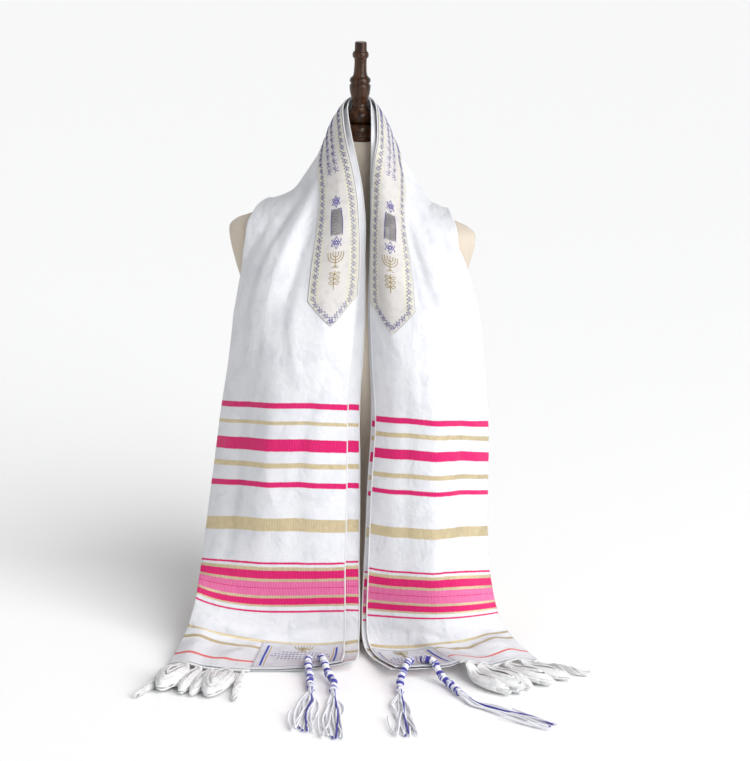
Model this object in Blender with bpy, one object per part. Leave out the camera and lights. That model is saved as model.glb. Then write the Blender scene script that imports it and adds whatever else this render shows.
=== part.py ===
"""Tallit prayer shawl, folded lengthwise and hung round the neck of a limbless dress form.

Metres, +Z up, +X to the right of the front, -Y towards the front. The origin is the centre of
the form's flat underside.
"""

import math
from collections import namedtuple

import bpy
import numpy as np

SEAM = 0.0003

# The dress form: rings from the underside to the top of the neck, as rounded ovals.
Ring = namedtuple("Ring", "height half_width half_depth shift squareness")
TORSO_RINGS = (
    Ring(0.0000, 0.150, 0.107, 0.000, 2.4),
    Ring(0.0045, 0.156, 0.112, 0.000, 2.4),
    Ring(0.0400, 0.160, 0.114, 0.000, 2.4),
    Ring(0.0900, 0.162, 0.115, 0.000, 2.4),
    Ring(0.1400, 0.153, 0.109, 0.000, 2.4),
    Ring(0.1900, 0.140, 0.099, -0.001, 2.3),
    Ring(0.2400, 0.129, 0.092, -0.001, 2.3),
    Ring(0.2900, 0.128, 0.091, -0.002, 2.3),
    Ring(0.3400, 0.135, 0.098, -0.003, 2.3),
    Ring(0.3900, 0.144, 0.107, -0.004, 2.3),
    Ring(0.4350, 0.150, 0.110, -0.005, 2.3),
    Ring(0.4800, 0.156, 0.105, -0.006, 2.2),
    Ring(0.5200, 0.163, 0.096, -0.007, 2.1),
    Ring(0.5500, 0.1715, 0.087, -0.008, 2.1),
    Ring(0.5750, 0.1780, 0.078, -0.008, 2.1),
    Ring(0.5920, 0.1805, 0.071, -0.008, 2.1),
    Ring(0.6020, 0.1785, 0.066, -0.008, 2.1),
    Ring(0.6090, 0.1700, 0.062, -0.008, 2.1),
    Ring(0.6170, 0.1500, 0.058, -0.007, 2.1),
    Ring(0.6270, 0.1230, 0.055, -0.006, 2.1),
    Ring(0.6370, 0.0970, 0.052, -0.004, 2.1),
    Ring(0.6480, 0.0730, 0.049, -0.002, 2.1),
    Ring(0.6600, 0.0560, 0.046, -0.001, 2.0),
    Ring(0.6750, 0.0470, 0.043, 0.000, 2.0),
    Ring(0.7000, 0.0410, 0.0405, 0.000, 2.0),
    Ring(0.7300, 0.0385, 0.0385, 0.000, 2.0),
    Ring(0.7350, 0.0365, 0.0365, 0.000, 2.0),
)
TORSO_SIDES = 32

# Turned wood: height and radius going up each piece.
CAP_BOTTOM = 0.7353
CAP_TOP = 0.7570
CAP_PROFILE = (
    (CAP_BOTTOM, 0.0335),
    (0.7363, 0.0345),
    (0.7405, 0.0345),
    (0.7415, 0.0325),
    (0.7480, 0.0300),
    (0.7492, 0.0300),
    (0.7540, 0.0280),
    (CAP_TOP, 0.0240),
)
FINIAL_PROFILE = (
    (CAP_TOP + SEAM, 0.0162),
    (0.7600, 0.0186),
    (0.7660, 0.0196),
    (0.7715, 0.0184),
    (0.7752, 0.0140),
    (0.7765, 0.0118),
    (0.7785, 0.0116),
    (0.7800, 0.0106),
    (0.7820, 0.0112),
    (0.7845, 0.0103),
    (0.7900, 0.0112),
    (0.7980, 0.0138),
    (0.8060, 0.0150),
    (0.8115, 0.0152),
    (0.8125, 0.0136),
    (0.8150, 0.0136),
    (0.8160, 0.0150),
    (0.8210, 0.0148),
    (0.8245, 0.0104),
    (0.8300, 0.0092),
    (0.8440, 0.0086),
    (0.8500, 0.0092),
    (0.8512, 0.0112),
    (0.8550, 0.0118),
    (0.8588, 0.0108),
    (0.8600, 0.0086),
    (0.8720, 0.0086),
    (0.8732, 0.0074),
)
LATHE_SIDES = 18

# The shawl: a cloth of 1.91 by 0.52 m folded along its length into two layers.
LEFT_END = -0.950
RIGHT_END = 0.960
FOLDED_WIDTH = 0.250
WALL = 0.0015
BODY_HALF_GAP = 0.0027
TABLE_HALF_GAP = 0.0017
TABLE_RUN = 0.84

# One section of the folded cloth: run is the way along the cloth from the back of the neck, edge
# lies on the open long edge, near and far are one and two thirds across, fold is the folded edge.
Section = namedtuple("Section", "run edge near far fold")
BACK_SECTION = Section(0.0, (0, 0.032, 0.792), (0, 0.064, 0.716),
                       (0, 0.088, 0.648), (0, 0.100, 0.590))
LEFT_SECTIONS = (
    Section(0.045, (-0.020, -0.002, 0.779), (-0.044, 0.034, 0.722),
            (-0.054, 0.068, 0.655), (-0.046, 0.094, 0.594)),
    Section(0.075, (-0.018, -0.030, 0.768), (-0.053, 0.009, 0.716),
            (-0.074, 0.050, 0.656), (-0.076, 0.082, 0.602)),
    Section(0.100, (-0.015, -0.049, 0.753), (-0.055, -0.013, 0.705),
            (-0.088, 0.030, 0.652), (-0.100, 0.062, 0.612)),
    Section(0.135, (-0.009, -0.060, 0.719), (-0.053, -0.042, 0.687),
            (-0.096, 0.003, 0.648), (-0.122, 0.034, 0.621)),
    Section(0.175, (0.001, -0.069, 0.682), (-0.051, -0.068, 0.662),
            (-0.102, -0.040, 0.636), (-0.137, -0.002, 0.628)),
    Section(0.225, (0.010, -0.081, 0.633), (-0.050, -0.092, 0.619),
            (-0.106, -0.077, 0.605), (-0.147, -0.040, 0.595)),
    Section(0.280, (0.014, -0.093, 0.579), (-0.054, -0.112, 0.568),
            (-0.114, -0.098, 0.559), (-0.158, -0.054, 0.549)),
    Section(0.345, (0.012, -0.106, 0.515), (-0.058, -0.128, 0.508),
            (-0.120, -0.110, 0.500), (-0.168, -0.055, 0.488)),
    Section(0.430, (0.008, -0.120, 0.433), (-0.057, -0.140, 0.432),
            (-0.122, -0.119, 0.424), (-0.178, -0.052, 0.406)),
    Section(0.494, (0.004, -0.127, 0.369), (-0.056, -0.147, 0.374),
            (-0.123, -0.124, 0.365), (-0.187, -0.054, 0.343)),
    Section(0.580, (0.005, -0.132, 0.283), (-0.060, -0.151, 0.287),
            (-0.129, -0.131, 0.279), (-0.196, -0.065, 0.258)),
    Section(0.675, (0.006, -0.135, 0.190), (-0.062, -0.152, 0.194),
            (-0.134, -0.140, 0.188), (-0.204, -0.088, 0.166)),
    Section(0.730, (0.006, -0.137, 0.134), (-0.062, -0.150, 0.134),
            (-0.135, -0.146, 0.130), (-0.206, -0.116, 0.118)),
    Section(0.804, (0.008, -0.139, 0.059), (-0.065, -0.146, 0.056),
            (-0.141, -0.157, 0.058), (-0.209, -0.156, 0.071)),
    Section(0.835, (0.009, -0.143, 0.029), (-0.067, -0.149, 0.024),
            (-0.146, -0.163, 0.032), (-0.214, -0.165, 0.047)),
    Section(0.857, (0.010, -0.154, 0.012), (-0.070, -0.160, 0.0065),
            (-0.152, -0.170, 0.018), (-0.218, -0.173, 0.031)),
    Section(0.880, (0.012, -0.172, 0.0075), (-0.071, -0.179, 0.004),
            (-0.154, -0.188, 0.0125), (-0.222, -0.190, 0.021)),
    Section(0.915, (0.014, -0.202, 0.011), (-0.072, -0.210, 0.004),
            (-0.156, -0.220, 0.011), (-0.225, -0.217, 0.014)),
    Section(0.950, (0.016, -0.232, 0.018), (-0.073, -0.241, 0.004),
            (-0.157, -0.251, 0.005), (-0.231, -0.248, 0.0045)),
)
RIGHT_SECTIONS = (
    Section(0.047, (0.020, -0.004, 0.777), (0.044, 0.033, 0.721),
            (0.055, 0.067, 0.655), (0.046, 0.094, 0.594)),
    Section(0.078, (0.027, -0.033, 0.768), (0.057, 0.007, 0.714),
            (0.077, 0.048, 0.655), (0.076, 0.082, 0.601)),
    Section(0.105, (0.032, -0.051, 0.750), (0.062, -0.016, 0.703),
            (0.089, 0.026, 0.651), (0.099, 0.060, 0.610)),
    Section(0.140, (0.033, -0.061, 0.715), (0.064, -0.046, 0.684),
            (0.098, -0.001, 0.646), (0.119, 0.032, 0.618)),
    Section(0.180, (0.032, -0.071, 0.677), (0.068, -0.074, 0.658),
            (0.104, -0.044, 0.633), (0.131, -0.006, 0.623)),
    Section(0.225, (0.032, -0.081, 0.633), (0.073, -0.095, 0.617),
            (0.112, -0.076, 0.604), (0.143, -0.038, 0.598)),
    Section(0.280, (0.033, -0.093, 0.579), (0.080, -0.113, 0.567),
            (0.127, -0.096, 0.559), (0.160, -0.051, 0.568)),
    Section(0.345, (0.035, -0.105, 0.515), (0.087, -0.129, 0.510),
            (0.136, -0.108, 0.503), (0.179, -0.043, 0.505)),
    Section(0.430, (0.041, -0.119, 0.432), (0.094, -0.144, 0.433),
            (0.146, -0.118, 0.424), (0.191, -0.036, 0.418)),
    Section(0.509, (0.048, -0.128, 0.353), (0.102, -0.150, 0.358),
            (0.153, -0.124, 0.350), (0.200, -0.038, 0.325)),
    Section(0.600, (0.045, -0.133, 0.262), (0.101, -0.153, 0.266),
            (0.155, -0.131, 0.261), (0.203, -0.048, 0.237)),
    Section(0.690, (0.043, -0.136, 0.172), (0.100, -0.154, 0.174),
            (0.155, -0.139, 0.172), (0.207, -0.064, 0.151)),
    Section(0.745, (0.042, -0.138, 0.117), (0.099, -0.152, 0.119),
            (0.156, -0.144, 0.119), (0.214, -0.080, 0.100)),
    Section(0.811, (0.041, -0.140, 0.051), (0.099, -0.150, 0.055),
            (0.160, -0.149, 0.058), (0.230, -0.102, 0.052)),
    Section(0.840, (0.043, -0.147, 0.024), (0.101, -0.153, 0.029),
            (0.165, -0.155, 0.038), (0.240, -0.113, 0.038)),
    Section(0.866, (0.050, -0.162, 0.010), (0.108, -0.163, 0.012),
            (0.177, -0.161, 0.026), (0.249, -0.122, 0.030)),
    Section(0.889, (0.060, -0.181, 0.0075), (0.118, -0.178, 0.009),
            (0.187, -0.172, 0.024), (0.257, -0.129, 0.024)),
    Section(0.925, (0.077, -0.212, 0.012), (0.133, -0.203, 0.012),
            (0.201, -0.188, 0.022), (0.274, -0.139, 0.013)),
    Section(0.960, (0.094, -0.243, 0.019), (0.152, -0.226, 0.018),
            (0.215, -0.203, 0.018), (0.291, -0.149, 0.0045)),
)

# How far the inner layer reaches past the outer layer's open edge, along each half.
LEFT_LIP = (
    (0.00, 0.004), (0.08, 0.006), (0.14, 0.010), (0.22, 0.0110), (0.28, 0.0090),
    (0.34, 0.014), (0.43, 0.018), (0.50, 0.023), (0.95, 0.020),
)
RIGHT_LIP = (
    (0.00, 0.004), (0.08, 0.008), (0.14, 0.012), (0.18, 0.0090), (0.22, 0.0080),
    (0.28, 0.0080), (0.38, 0.009), (0.51, 0.013), (0.72, 0.009), (0.96, 0.006),
)

# Soft folds along the cloth: place and width as shares across, drift of the place per metre of run.
Fold = namedtuple("Fold", "side across drift width depth run_from run_to")
FOLDS = (
    Fold(-1, 0.40, 0.55, 0.13, -0.0100, 0.12, 0.36),
    Fold(-1, 0.16, 0.25, 0.08, 0.0045, 0.16, 0.44),
    Fold(-1, 0.72, 0.20, 0.08, 0.0050, 0.16, 0.46),
    Fold(-1, 0.33, 0.10, 0.07, -0.0035, 0.38, 0.78),
    Fold(-1, 0.56, 0.12, 0.08, 0.0045, 0.36, 0.80),
    Fold(-1, 0.80, 0.05, 0.07, -0.0050, 0.34, 0.78),
    Fold(-1, 0.88, -0.10, 0.08, 0.0070, 0.80, 1.02),
    Fold(1, 0.42, 0.50, 0.13, -0.0100, 0.12, 0.36),
    Fold(1, 0.18, 0.20, 0.08, 0.0040, 0.16, 0.44),
    Fold(1, 0.76, 0.10, 0.08, 0.0050, 0.18, 0.48),
    Fold(1, 0.30, 0.12, 0.08, -0.0035, 0.38, 0.80),
    Fold(1, 0.55, 0.10, 0.08, 0.0050, 0.36, 0.82),
    Fold(1, 0.80, 0.05, 0.08, -0.0060, 0.34, 0.80),
    Fold(1, 0.52, 0.30, 0.07, 0.0060, 0.80, 1.04),
    Fold(1, 0.72, 0.20, 0.06, -0.0050, 0.82, 1.04),
    Fold(1, 0.88, 0.10, 0.06, 0.0060, 0.82, 1.04),
    Fold(-1, 0.55, 0.00, 0.10, 0.0060, -0.10, 0.16),
    Fold(1, 0.55, 0.00, 0.10, 0.0060, -0.10, 0.16),
)

RUN_STEP = 0.005
ACROSS_STEP = 1 / 40
ACROSS_START = -0.125
SMOOTHING_PASSES = 14
FORM_CLEARANCE = 0.0014
SHOULDER_EXTRA = 0.0034
SHOULDER_RUN = 0.32
SHOULDER_FADE = 0.08
NECK_RUN = 0.24
NECK_FADE = 0.05
FLOOR_CLEARANCE = 0.0034

# The shawl's columns on the outer layer, as shares across; the sewn pieces end on some of them.
OUTER_SHARES = (0, 0.006, 0.068, 0.130, 0.192, 0.254, 0.315, 0.40, 0.49, 0.58, 0.67, 0.76, 0.85, 0.93, 1)
INNER_SHARES = (1, 0.93, 0.84, 0.74, 0.63, 0.52, 0.41, 0.31, 0.22, 0.14, 0.07, 0)
COARSE_ROW = 0.040
FINE_ROW = 0.017

# Sewn pieces on the outer layer.
BAND_NEAR = 0.006
BAND_WALL = 0.0012
NECKBAND_RUN = (-0.372, 0.380)
NECKBAND_FAR = 0.315
NECKBAND_POINT = 0.040
NECKBAND_EASE = 0.30
EASE_RISES = (0.06, 0.17)
EASE_FALLS = (0.45, 0.62)
NECKBAND_TIP = 0.25
TIP_SEAM = 0.0012
TIP_SEAM_LENGTH = 0.070
PATCH_FAR = 0.49
PATCH_LENGTH = 0.096
PATCH_INSET = 0.003

# Fringe: a narrow braid past the hem with bunches of two locks.
BRAID_DEPTH = 0.004
BRAID_HALF_WALL = 0.0021
BRAID_FROM = 0.50
BUNCHES = 8
LOCKS = 2
LOCK_STEPS = 6
LOCK_PITCH = 0.0050
LOCK_HALF = 0.0020
LOCK_OFF_TABLE = 0.0010

WHITE = (0.86, 0.87, 0.89, 1)
LINEN = (0.62, 0.54, 0.47, 1)
WOOD = (0.10, 0.035, 0.018, 1)
CREAM = (0.84, 0.80, 0.72, 1)
FLOSS = (0.88, 0.88, 0.87, 1)
BLUE_WHITE = (0.45, 0.45, 0.75, 1)


def clear_scene():
    for obj in list(bpy.data.objects):
        bpy.data.objects.remove(obj, do_unlink=True)


def material(name, colour, roughness):
    made = bpy.data.materials.new(name)
    made.use_nodes = True
    shader = made.node_tree.nodes["Principled BSDF"]
    shader.inputs["Base Color"].default_value = colour
    shader.inputs["Roughness"].default_value = roughness
    return made


def add_solid(name, points, faces, colour, roughness):
    mesh = bpy.data.meshes.new(name)
    corners = [tuple(map(float, point)) for point in points]
    mesh.from_pydata(corners, [], [tuple(map(int, face)) for face in faces])
    mesh.validate()
    mesh.polygons.foreach_set("use_smooth", [True] * len(mesh.polygons))
    mesh.set_sharp_from_angle(angle=math.radians(40))
    mesh.materials.append(material(name, colour, roughness))
    obj = bpy.data.objects.new(name, mesh)
    bpy.context.scene.collection.objects.link(obj)
    return obj


def unit(vectors):
    vectors = np.asarray(vectors, float)
    return vectors / np.maximum(np.linalg.norm(vectors, axis=-1, keepdims=True), 1e-12)


def stacked_rings(rings):
    """Faces that join rings of equal counts, going up, with flat ends."""
    count = len(rings[0])
    points = np.concatenate(rings)
    faces = []
    for level in range(len(rings) - 1):
        low, high = level * count, (level + 1) * count
        for k in range(count):
            n = (k + 1) % count
            faces.append((low + k, low + n, high + n, high + k))
    faces.append(tuple(range(count))[::-1])
    top = (len(rings) - 1) * count
    faces.append(tuple(range(top, top + count)))
    return points, faces


def oval(half_width, half_depth, squareness, angles):
    c, s = np.cos(angles), np.sin(angles)
    power = 2 / squareness
    return np.sign(c) * abs(c) ** power * half_width, np.sign(s) * abs(s) ** power * half_depth


def make_torso():
    angles = np.arange(TORSO_SIDES) * math.tau / TORSO_SIDES
    rings = []
    for ring in TORSO_RINGS:
        x, y = oval(ring.half_width, ring.half_depth, ring.squareness, angles)
        rings.append(np.column_stack([x + ring.shift, y, np.full_like(x, ring.height)]))
    points, faces = stacked_rings(rings)
    add_solid("form_torso", points, faces, LINEN, 0.9)


def make_turned(name, profile, colour, roughness):
    angles = np.arange(LATHE_SIDES) * math.tau / LATHE_SIDES
    rings = []
    for height, radius in profile:
        x, y = radius * np.cos(angles), radius * np.sin(angles)
        rings.append(np.column_stack([x, y, np.full_like(x, height)]))
    points, faces = stacked_rings(rings)
    add_solid(name, points, faces, colour, roughness)


def smooth_through(knots, values, wanted):
    """Cubic curve through rows of values, with slopes weighed by the spacing of the knots."""
    knots, values, wanted = (np.asarray(part, float) for part in (knots, values, wanted))
    steps = np.diff(knots)
    shape = (-1,) + (1,) * (values.ndim - 1)
    chords = np.diff(values, axis=0) / steps.reshape(shape)
    slopes = np.empty_like(values)
    slopes[0], slopes[-1] = chords[0], chords[-1]
    before, after = steps[:-1].reshape(shape), steps[1:].reshape(shape)
    slopes[1:-1] = (chords[:-1] * after + chords[1:] * before) / (before + after)
    k = np.clip(np.searchsorted(knots, wanted, side="right") - 1, 0, len(steps) - 1)
    h = steps[k].reshape(shape)
    t = ((wanted - knots[k]) / steps[k]).reshape(shape)
    return (
        values[k] * (2 * t**3 - 3 * t**2 + 1)
        + slopes[k] * h * (t**3 - 2 * t**2 + t)
        + values[k + 1] * (3 * t**2 - 2 * t**3)
        + slopes[k + 1] * h * (t**3 - t**2)
    )


def bump(distance):
    return np.exp(-(distance**2))


def step_between(value, low, high):
    t = np.clip((value - low) / (high - low), 0, 1)
    return t * t * (3 - 2 * t)


def form_reach(points):
    """How far points lie from the form's middle line, as a share of its surface's distance."""
    table = np.array(TORSO_RINGS)
    turned = [(z, r, r, 0, 2) for z, r in CAP_PROFILE[1:] + FINIAL_PROFILE[:12]]
    table = np.concatenate([table, turned])
    x, y, z = points[..., 0], points[..., 1], points[..., 2]
    at_height = (np.interp(z, table[:, 0], table[:, k]) for k in (1, 2, 3, 4))
    half_width, half_depth, shift, square = at_height
    wide, deep = abs(x - shift) / half_width, abs(y) / half_depth
    return (wide**square + deep**square) ** (1 / square)


def raised_off_form(points, margin):
    """Points moved straight out of the form's surface until they are this far from it."""
    out = points.copy()
    nudge = 0.0015
    for _ in range(4):
        reach = form_reach(out)
        rises = [form_reach(out + nudge * way) - form_reach(out - nudge * way) for way in np.eye(3)]
        slope = np.stack(rises, axis=-1) / (2 * nudge)
        steep = np.maximum(np.linalg.norm(slope, axis=-1), 1e-6)
        short = np.maximum(margin - (reach - 1) / steep, 0)
        out = out + slope / steep[..., None] * np.minimum(short, 0.02)[..., None]
    return out


class FoldedCloth:
    """The middle surface between the two layers, as a grid of points by run and by share across."""

    def __init__(self):
        sections = [s._replace(run=-s.run) for s in reversed(LEFT_SECTIONS)]
        sections += [BACK_SECTION, *RIGHT_SECTIONS]
        count = round((RIGHT_END - LEFT_END) / RUN_STEP)
        self.runs = LEFT_END + RUN_STEP * np.arange(count + 1)
        self.across = np.arange(ACROSS_START, 1 + ACROSS_STEP / 2, ACROSS_STEP)
        table = np.array([[s.edge, s.near, s.far, s.fold] for s in sections])
        control = smooth_through([s.run for s in sections], table, self.runs)
        w = self.across
        weights = np.array([
            -4.5 * (w - 1 / 3) * (w - 2 / 3) * (w - 1),
            13.5 * w * (w - 2 / 3) * (w - 1),
            -13.5 * w * (w - 1 / 3) * (w - 1),
            4.5 * w * (w - 1 / 3) * (w - 2 / 3),
        ])
        grid = np.einsum("kw,rkc->rwc", weights, control)
        edge = int(np.argmin(abs(w)))
        heading = unit(grid[:, edge + 1] - grid[:, edge])
        for k in range(edge):
            grid[:, k] = grid[:, edge] + heading * w[k] * FOLDED_WIDTH
        self.points = grid
        self.set_normals()
        self.points = self.points + self.normals * self.fold_depths()[..., None]
        extra = SHOULDER_EXTRA * step_between(SHOULDER_RUN - abs(self.runs), 0, SHOULDER_FADE)
        margin = BODY_HALF_GAP + WALL / 2 + FORM_CLEARANCE + extra[:, None]
        self.points = raised_off_form(self.points, margin)
        for _ in range(SMOOTHING_PASSES):
            self.relax_near_neck()
            self.points = raised_off_form(self.points, margin)
        self.points[..., 2] = np.maximum(self.points[..., 2], FLOOR_CLEARANCE)
        self.set_normals()

    def set_normals(self):
        along = np.gradient(self.points, axis=0)
        over = np.gradient(self.points, axis=1)
        self.normals = unit(np.cross(along, over))
        self.along = unit(along)
        self.over = unit(over - (over * self.normals).sum(-1, keepdims=True) * self.normals)

    def fold_depths(self):
        run, across = np.meshgrid(self.runs, self.across, indexing="ij")
        total = np.zeros_like(run)
        for fold in FOLDS:
            way = run * fold.side
            centre = fold.across + fold.drift * (way - (fold.run_from + fold.run_to) / 2)
            middle, half = (fold.run_from + fold.run_to) / 2, (fold.run_to - fold.run_from) / 2
            fade = step_between(half - abs(way - middle), 0, half * 0.7)
            total += fold.depth * bump((across - centre) / fold.width) * fade
        return total * step_between(across, -0.02, 0.12)

    def relax_near_neck(self):
        p = self.points
        weight = step_between(NECK_RUN - abs(self.runs), 0, NECK_FADE)[1:-1, None, None] * 0.5
        mean = (p[:-2, 1:-1] + p[2:, 1:-1] + p[1:-1, :-2] + p[1:-1, 2:]) / 4
        p[1:-1, 1:-1] += weight * (mean - p[1:-1, 1:-1])

    def half_gap(self, run):
        on_table = step_between(abs(run), TABLE_RUN - 0.1, TABLE_RUN)
        return BODY_HALF_GAP + (TABLE_HALF_GAP - BODY_HALF_GAP) * on_table

    def sample(self, values, run, across):
        run, across = np.broadcast_arrays(np.asarray(run, float), np.asarray(across, float))
        r = np.clip((run - self.runs[0]) / RUN_STEP, 0, len(self.runs) - 1.000001)
        a = np.clip((across - self.across[0]) / ACROSS_STEP, 0, len(self.across) - 1.000001)
        i, j = r.astype(int), a.astype(int)
        f, g = (r - i)[..., None], (a - j)[..., None]
        return (
            values[i, j] * (1 - f) * (1 - g)
            + values[i + 1, j] * f * (1 - g)
            + values[i, j + 1] * (1 - f) * g
            + values[i + 1, j + 1] * f * g
        )

    def outside(self, run, across, lift):
        """Points over the outer layer's outer face, as its own rows and columns of points shape it."""
        rows, columns = shawl_runs(), np.array(OUTER_SHARES)
        i = np.clip(np.searchsorted(rows, run + 1e-9) - 1, 0, len(rows) - 2)
        j = np.clip(np.searchsorted(columns, across + 1e-9) - 1, 0, len(columns) - 2)
        f = ((run - rows[i]) / (rows[i + 1] - rows[i]))[..., None]
        g = ((across - columns[j]) / (columns[j + 1] - columns[j]))[..., None]
        total = 0
        for row, weight in ((i, 1 - f), (i + 1, f)):
            for column, share in ((j, 1 - g), (j + 1, g)):
                at = rows[row], eased(rows[row], columns[column])
                normal = unit(self.sample(self.normals, *at))
                height = (self.half_gap(rows[row]) + WALL / 2)[..., None] + lift[..., None]
                total = total + weight * share * (self.sample(self.points, *at) + normal * height)
        return total

    def lip(self, run):
        left = np.interp(-run, *np.array(LEFT_LIP).T)
        right = np.interp(run, *np.array(RIGHT_LIP).T)
        return np.where(run < 0, left, right) / FOLDED_WIDTH


def sheet_faces(rows, columns):
    """Faces of two grids of the same size, upper grid first, closed round the rim."""
    size = rows * columns
    faces = []
    for i in range(rows - 1):
        for j in range(columns - 1):
            a = i * columns + j
            b, c, d = a + columns, a + columns + 1, a + 1
            for face in ((a, b, c), (a, c, d)):
                faces.append(face)
                faces.append(tuple(size + k for k in face[::-1]))
    rim = list(range(columns))
    rim += [i * columns + columns - 1 for i in range(1, rows)]
    rim += [(rows - 1) * columns + j for j in range(columns - 2, -1, -1)]
    rim += [i * columns for i in range(rows - 2, 0, -1)]
    for here, after in zip(rim, rim[1:] + rim[:1]):
        faces.append((here, after, size + after, size + here))
    return faces


def shawl_runs():
    """Runs of the shawl's cross rows, with one at each end of a sewn piece and closer ones at bends."""
    start, end = NECKBAND_RUN
    anchors = [LEFT_END, LEFT_END + PATCH_INSET, LEFT_END + PATCH_LENGTH]
    anchors += [start, start + NECKBAND_POINT / 2, start + NECKBAND_POINT]
    anchors += [end - NECKBAND_POINT, end - NECKBAND_POINT / 2, end]
    anchors += [RIGHT_END - PATCH_LENGTH, RIGHT_END - PATCH_INSET, RIGHT_END]
    runs = []
    for low, high in zip(anchors, anchors[1:]):
        ways = np.linspace(low, high, 200)
        near_neck, near_bend = bump((abs(ways) / NECK_RUN) ** 2), bump((abs(ways) - 0.86) / 0.055)
        spacing = COARSE_ROW - (COARSE_ROW - FINE_ROW) * np.maximum(near_neck, near_bend)
        count = np.concatenate([[0], np.cumsum(np.diff(ways) / spacing[1:])])
        pieces = max(1, round(count[-1]))
        runs.extend(np.interp(np.arange(pieces) * count[-1] / pieces, count, ways))
    return np.array(runs + [RIGHT_END])


def eased(run, shares):
    """Shares across with the neckband's part widened on the right half, where the drape draws it in."""
    ease = 1 + NECKBAND_EASE * step_between(run, *EASE_RISES) * (1 - step_between(run, *EASE_FALLS))
    far = BAND_NEAR + (NECKBAND_FAR - BAND_NEAR) * ease
    beyond = far + (shares - NECKBAND_FAR) * (1 - far) / (1 - NECKBAND_FAR)
    on_band = BAND_NEAR + (shares - BAND_NEAR) * ease
    return np.where(shares < BAND_NEAR, shares, np.where(shares > NECKBAND_FAR, beyond, on_band))


def make_shawl(cloth):
    runs = shawl_runs()
    inner = np.array(INNER_SHARES)
    turn = np.radians((50, 0, -50))
    rows_upper, rows_lower = [], []
    for run in runs:
        gap = float(cloth.half_gap(run))
        lip = float(cloth.lip(run))
        inner_across = 1 - (1 - inner) * (1 + lip)
        upper, lower = [], []
        outer = eased(run, np.array(OUTER_SHARES))
        for across, face in ((outer, 1), (inner_across, -1)):
            p = cloth.sample(cloth.points, np.full_like(across, run), across)
            n = unit(cloth.sample(cloth.normals, np.full_like(across, run), across))
            upper.append(p + face * n * (gap + WALL / 2))
            lower.append(p + face * n * (gap - WALL / 2))
        p = cloth.sample(cloth.points, [run], [1.0])
        n = unit(cloth.sample(cloth.normals, [run], [1.0]))
        t = unit(cloth.sample(cloth.over, [run], [1.0]))
        ways = np.array([n[0] * math.sin(a) + t[0] * math.cos(a) for a in turn])
        rows_upper.append(np.concatenate([upper[0], p + ways * (gap + WALL / 2), upper[1]]))
        rows_lower.append(np.concatenate([lower[0], p + ways * (gap - WALL / 2), lower[1]]))
    columns = len(rows_upper[0])
    points = np.concatenate([np.concatenate(rows_upper), np.concatenate(rows_lower)])
    add_solid("tallit_cloth", points, sheet_faces(len(runs), columns), WHITE, 0.6)


def add_band(cloth, name, runs, across, seam, colour):
    """A flat piece sewn on the outer layer: rows of shares across, one row for each run."""
    columns = across.shape[1]
    run = np.repeat(np.asarray(runs)[:, None], columns, axis=1)
    seam = np.repeat(np.asarray(seam)[:, None], columns, axis=1)
    upper = cloth.outside(run, across, seam + BAND_WALL).reshape(-1, 3)
    lower = cloth.outside(run, across, seam).reshape(-1, 3)
    add_solid(name, np.concatenate([upper, lower]), sheet_faces(len(runs), columns), colour, 0.6)


def make_neckband(cloth):
    start, end = NECKBAND_RUN
    runs = shawl_runs()
    runs = runs[(runs > start - 1e-6) & (runs < end + 1e-6)]
    shares = np.array(OUTER_SHARES)
    shares = shares[(shares >= BAND_NEAR) & (shares <= NECKBAND_FAR)]
    middle = (shares[0] + shares[-1]) / 2
    to_tip = np.minimum(runs - start, end - runs)
    narrow = NECKBAND_TIP + (1 - NECKBAND_TIP) * np.clip(to_tip / NECKBAND_POINT, 0, 1)
    across = middle + (shares - middle)[None, :] * narrow[:, None]
    seam = np.where(to_tip < TIP_SEAM_LENGTH, TIP_SEAM, SEAM)
    add_band(cloth, "atarah", runs, across, seam, CREAM)


def make_patch(cloth, name, end):
    runs = shawl_runs()
    way = abs(end - runs)
    runs = runs[(way > PATCH_INSET - 1e-6) & (way < PATCH_LENGTH + 1e-6)]
    shares = np.array(OUTER_SHARES)
    shares = shares[(shares >= BAND_NEAR) & (shares <= PATCH_FAR)]
    across = np.repeat(shares[None, :], len(runs), axis=0)
    add_band(cloth, name, runs, across, np.full(len(runs), SEAM), CREAM)


def grow(points, faces, quad, path, half_sizes, flat_up):
    """Grows a four-sided strand from a quad: a ring round each point of the path, then an end face."""
    ring = list(quad)
    path = [np.asarray(p, float) for p in path]
    for k, (centre, (half_side, half_rise)) in enumerate(zip(path, half_sizes)):
        before = path[k - 1] if k else np.mean([points[i] for i in quad], axis=0)
        after = path[k + 1] if k + 1 < len(path) else centre + (centre - before)
        heading = unit(after - before)
        up = unit(flat_up - heading * float(flat_up @ heading))
        side = np.cross(heading, up)
        corners = [(-1, -1), (-1, 1), (1, 1), (1, -1)]
        new = []
        for across, rise in corners:
            new.append(len(points))
            points.append(centre + side * across * half_side + up * rise * half_rise)
        for n in range(4):
            m = (n + 1) % 4
            faces.append((ring[n], ring[m], new[m], new[n]))
        ring = new
    faces.append(tuple(ring))


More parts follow.
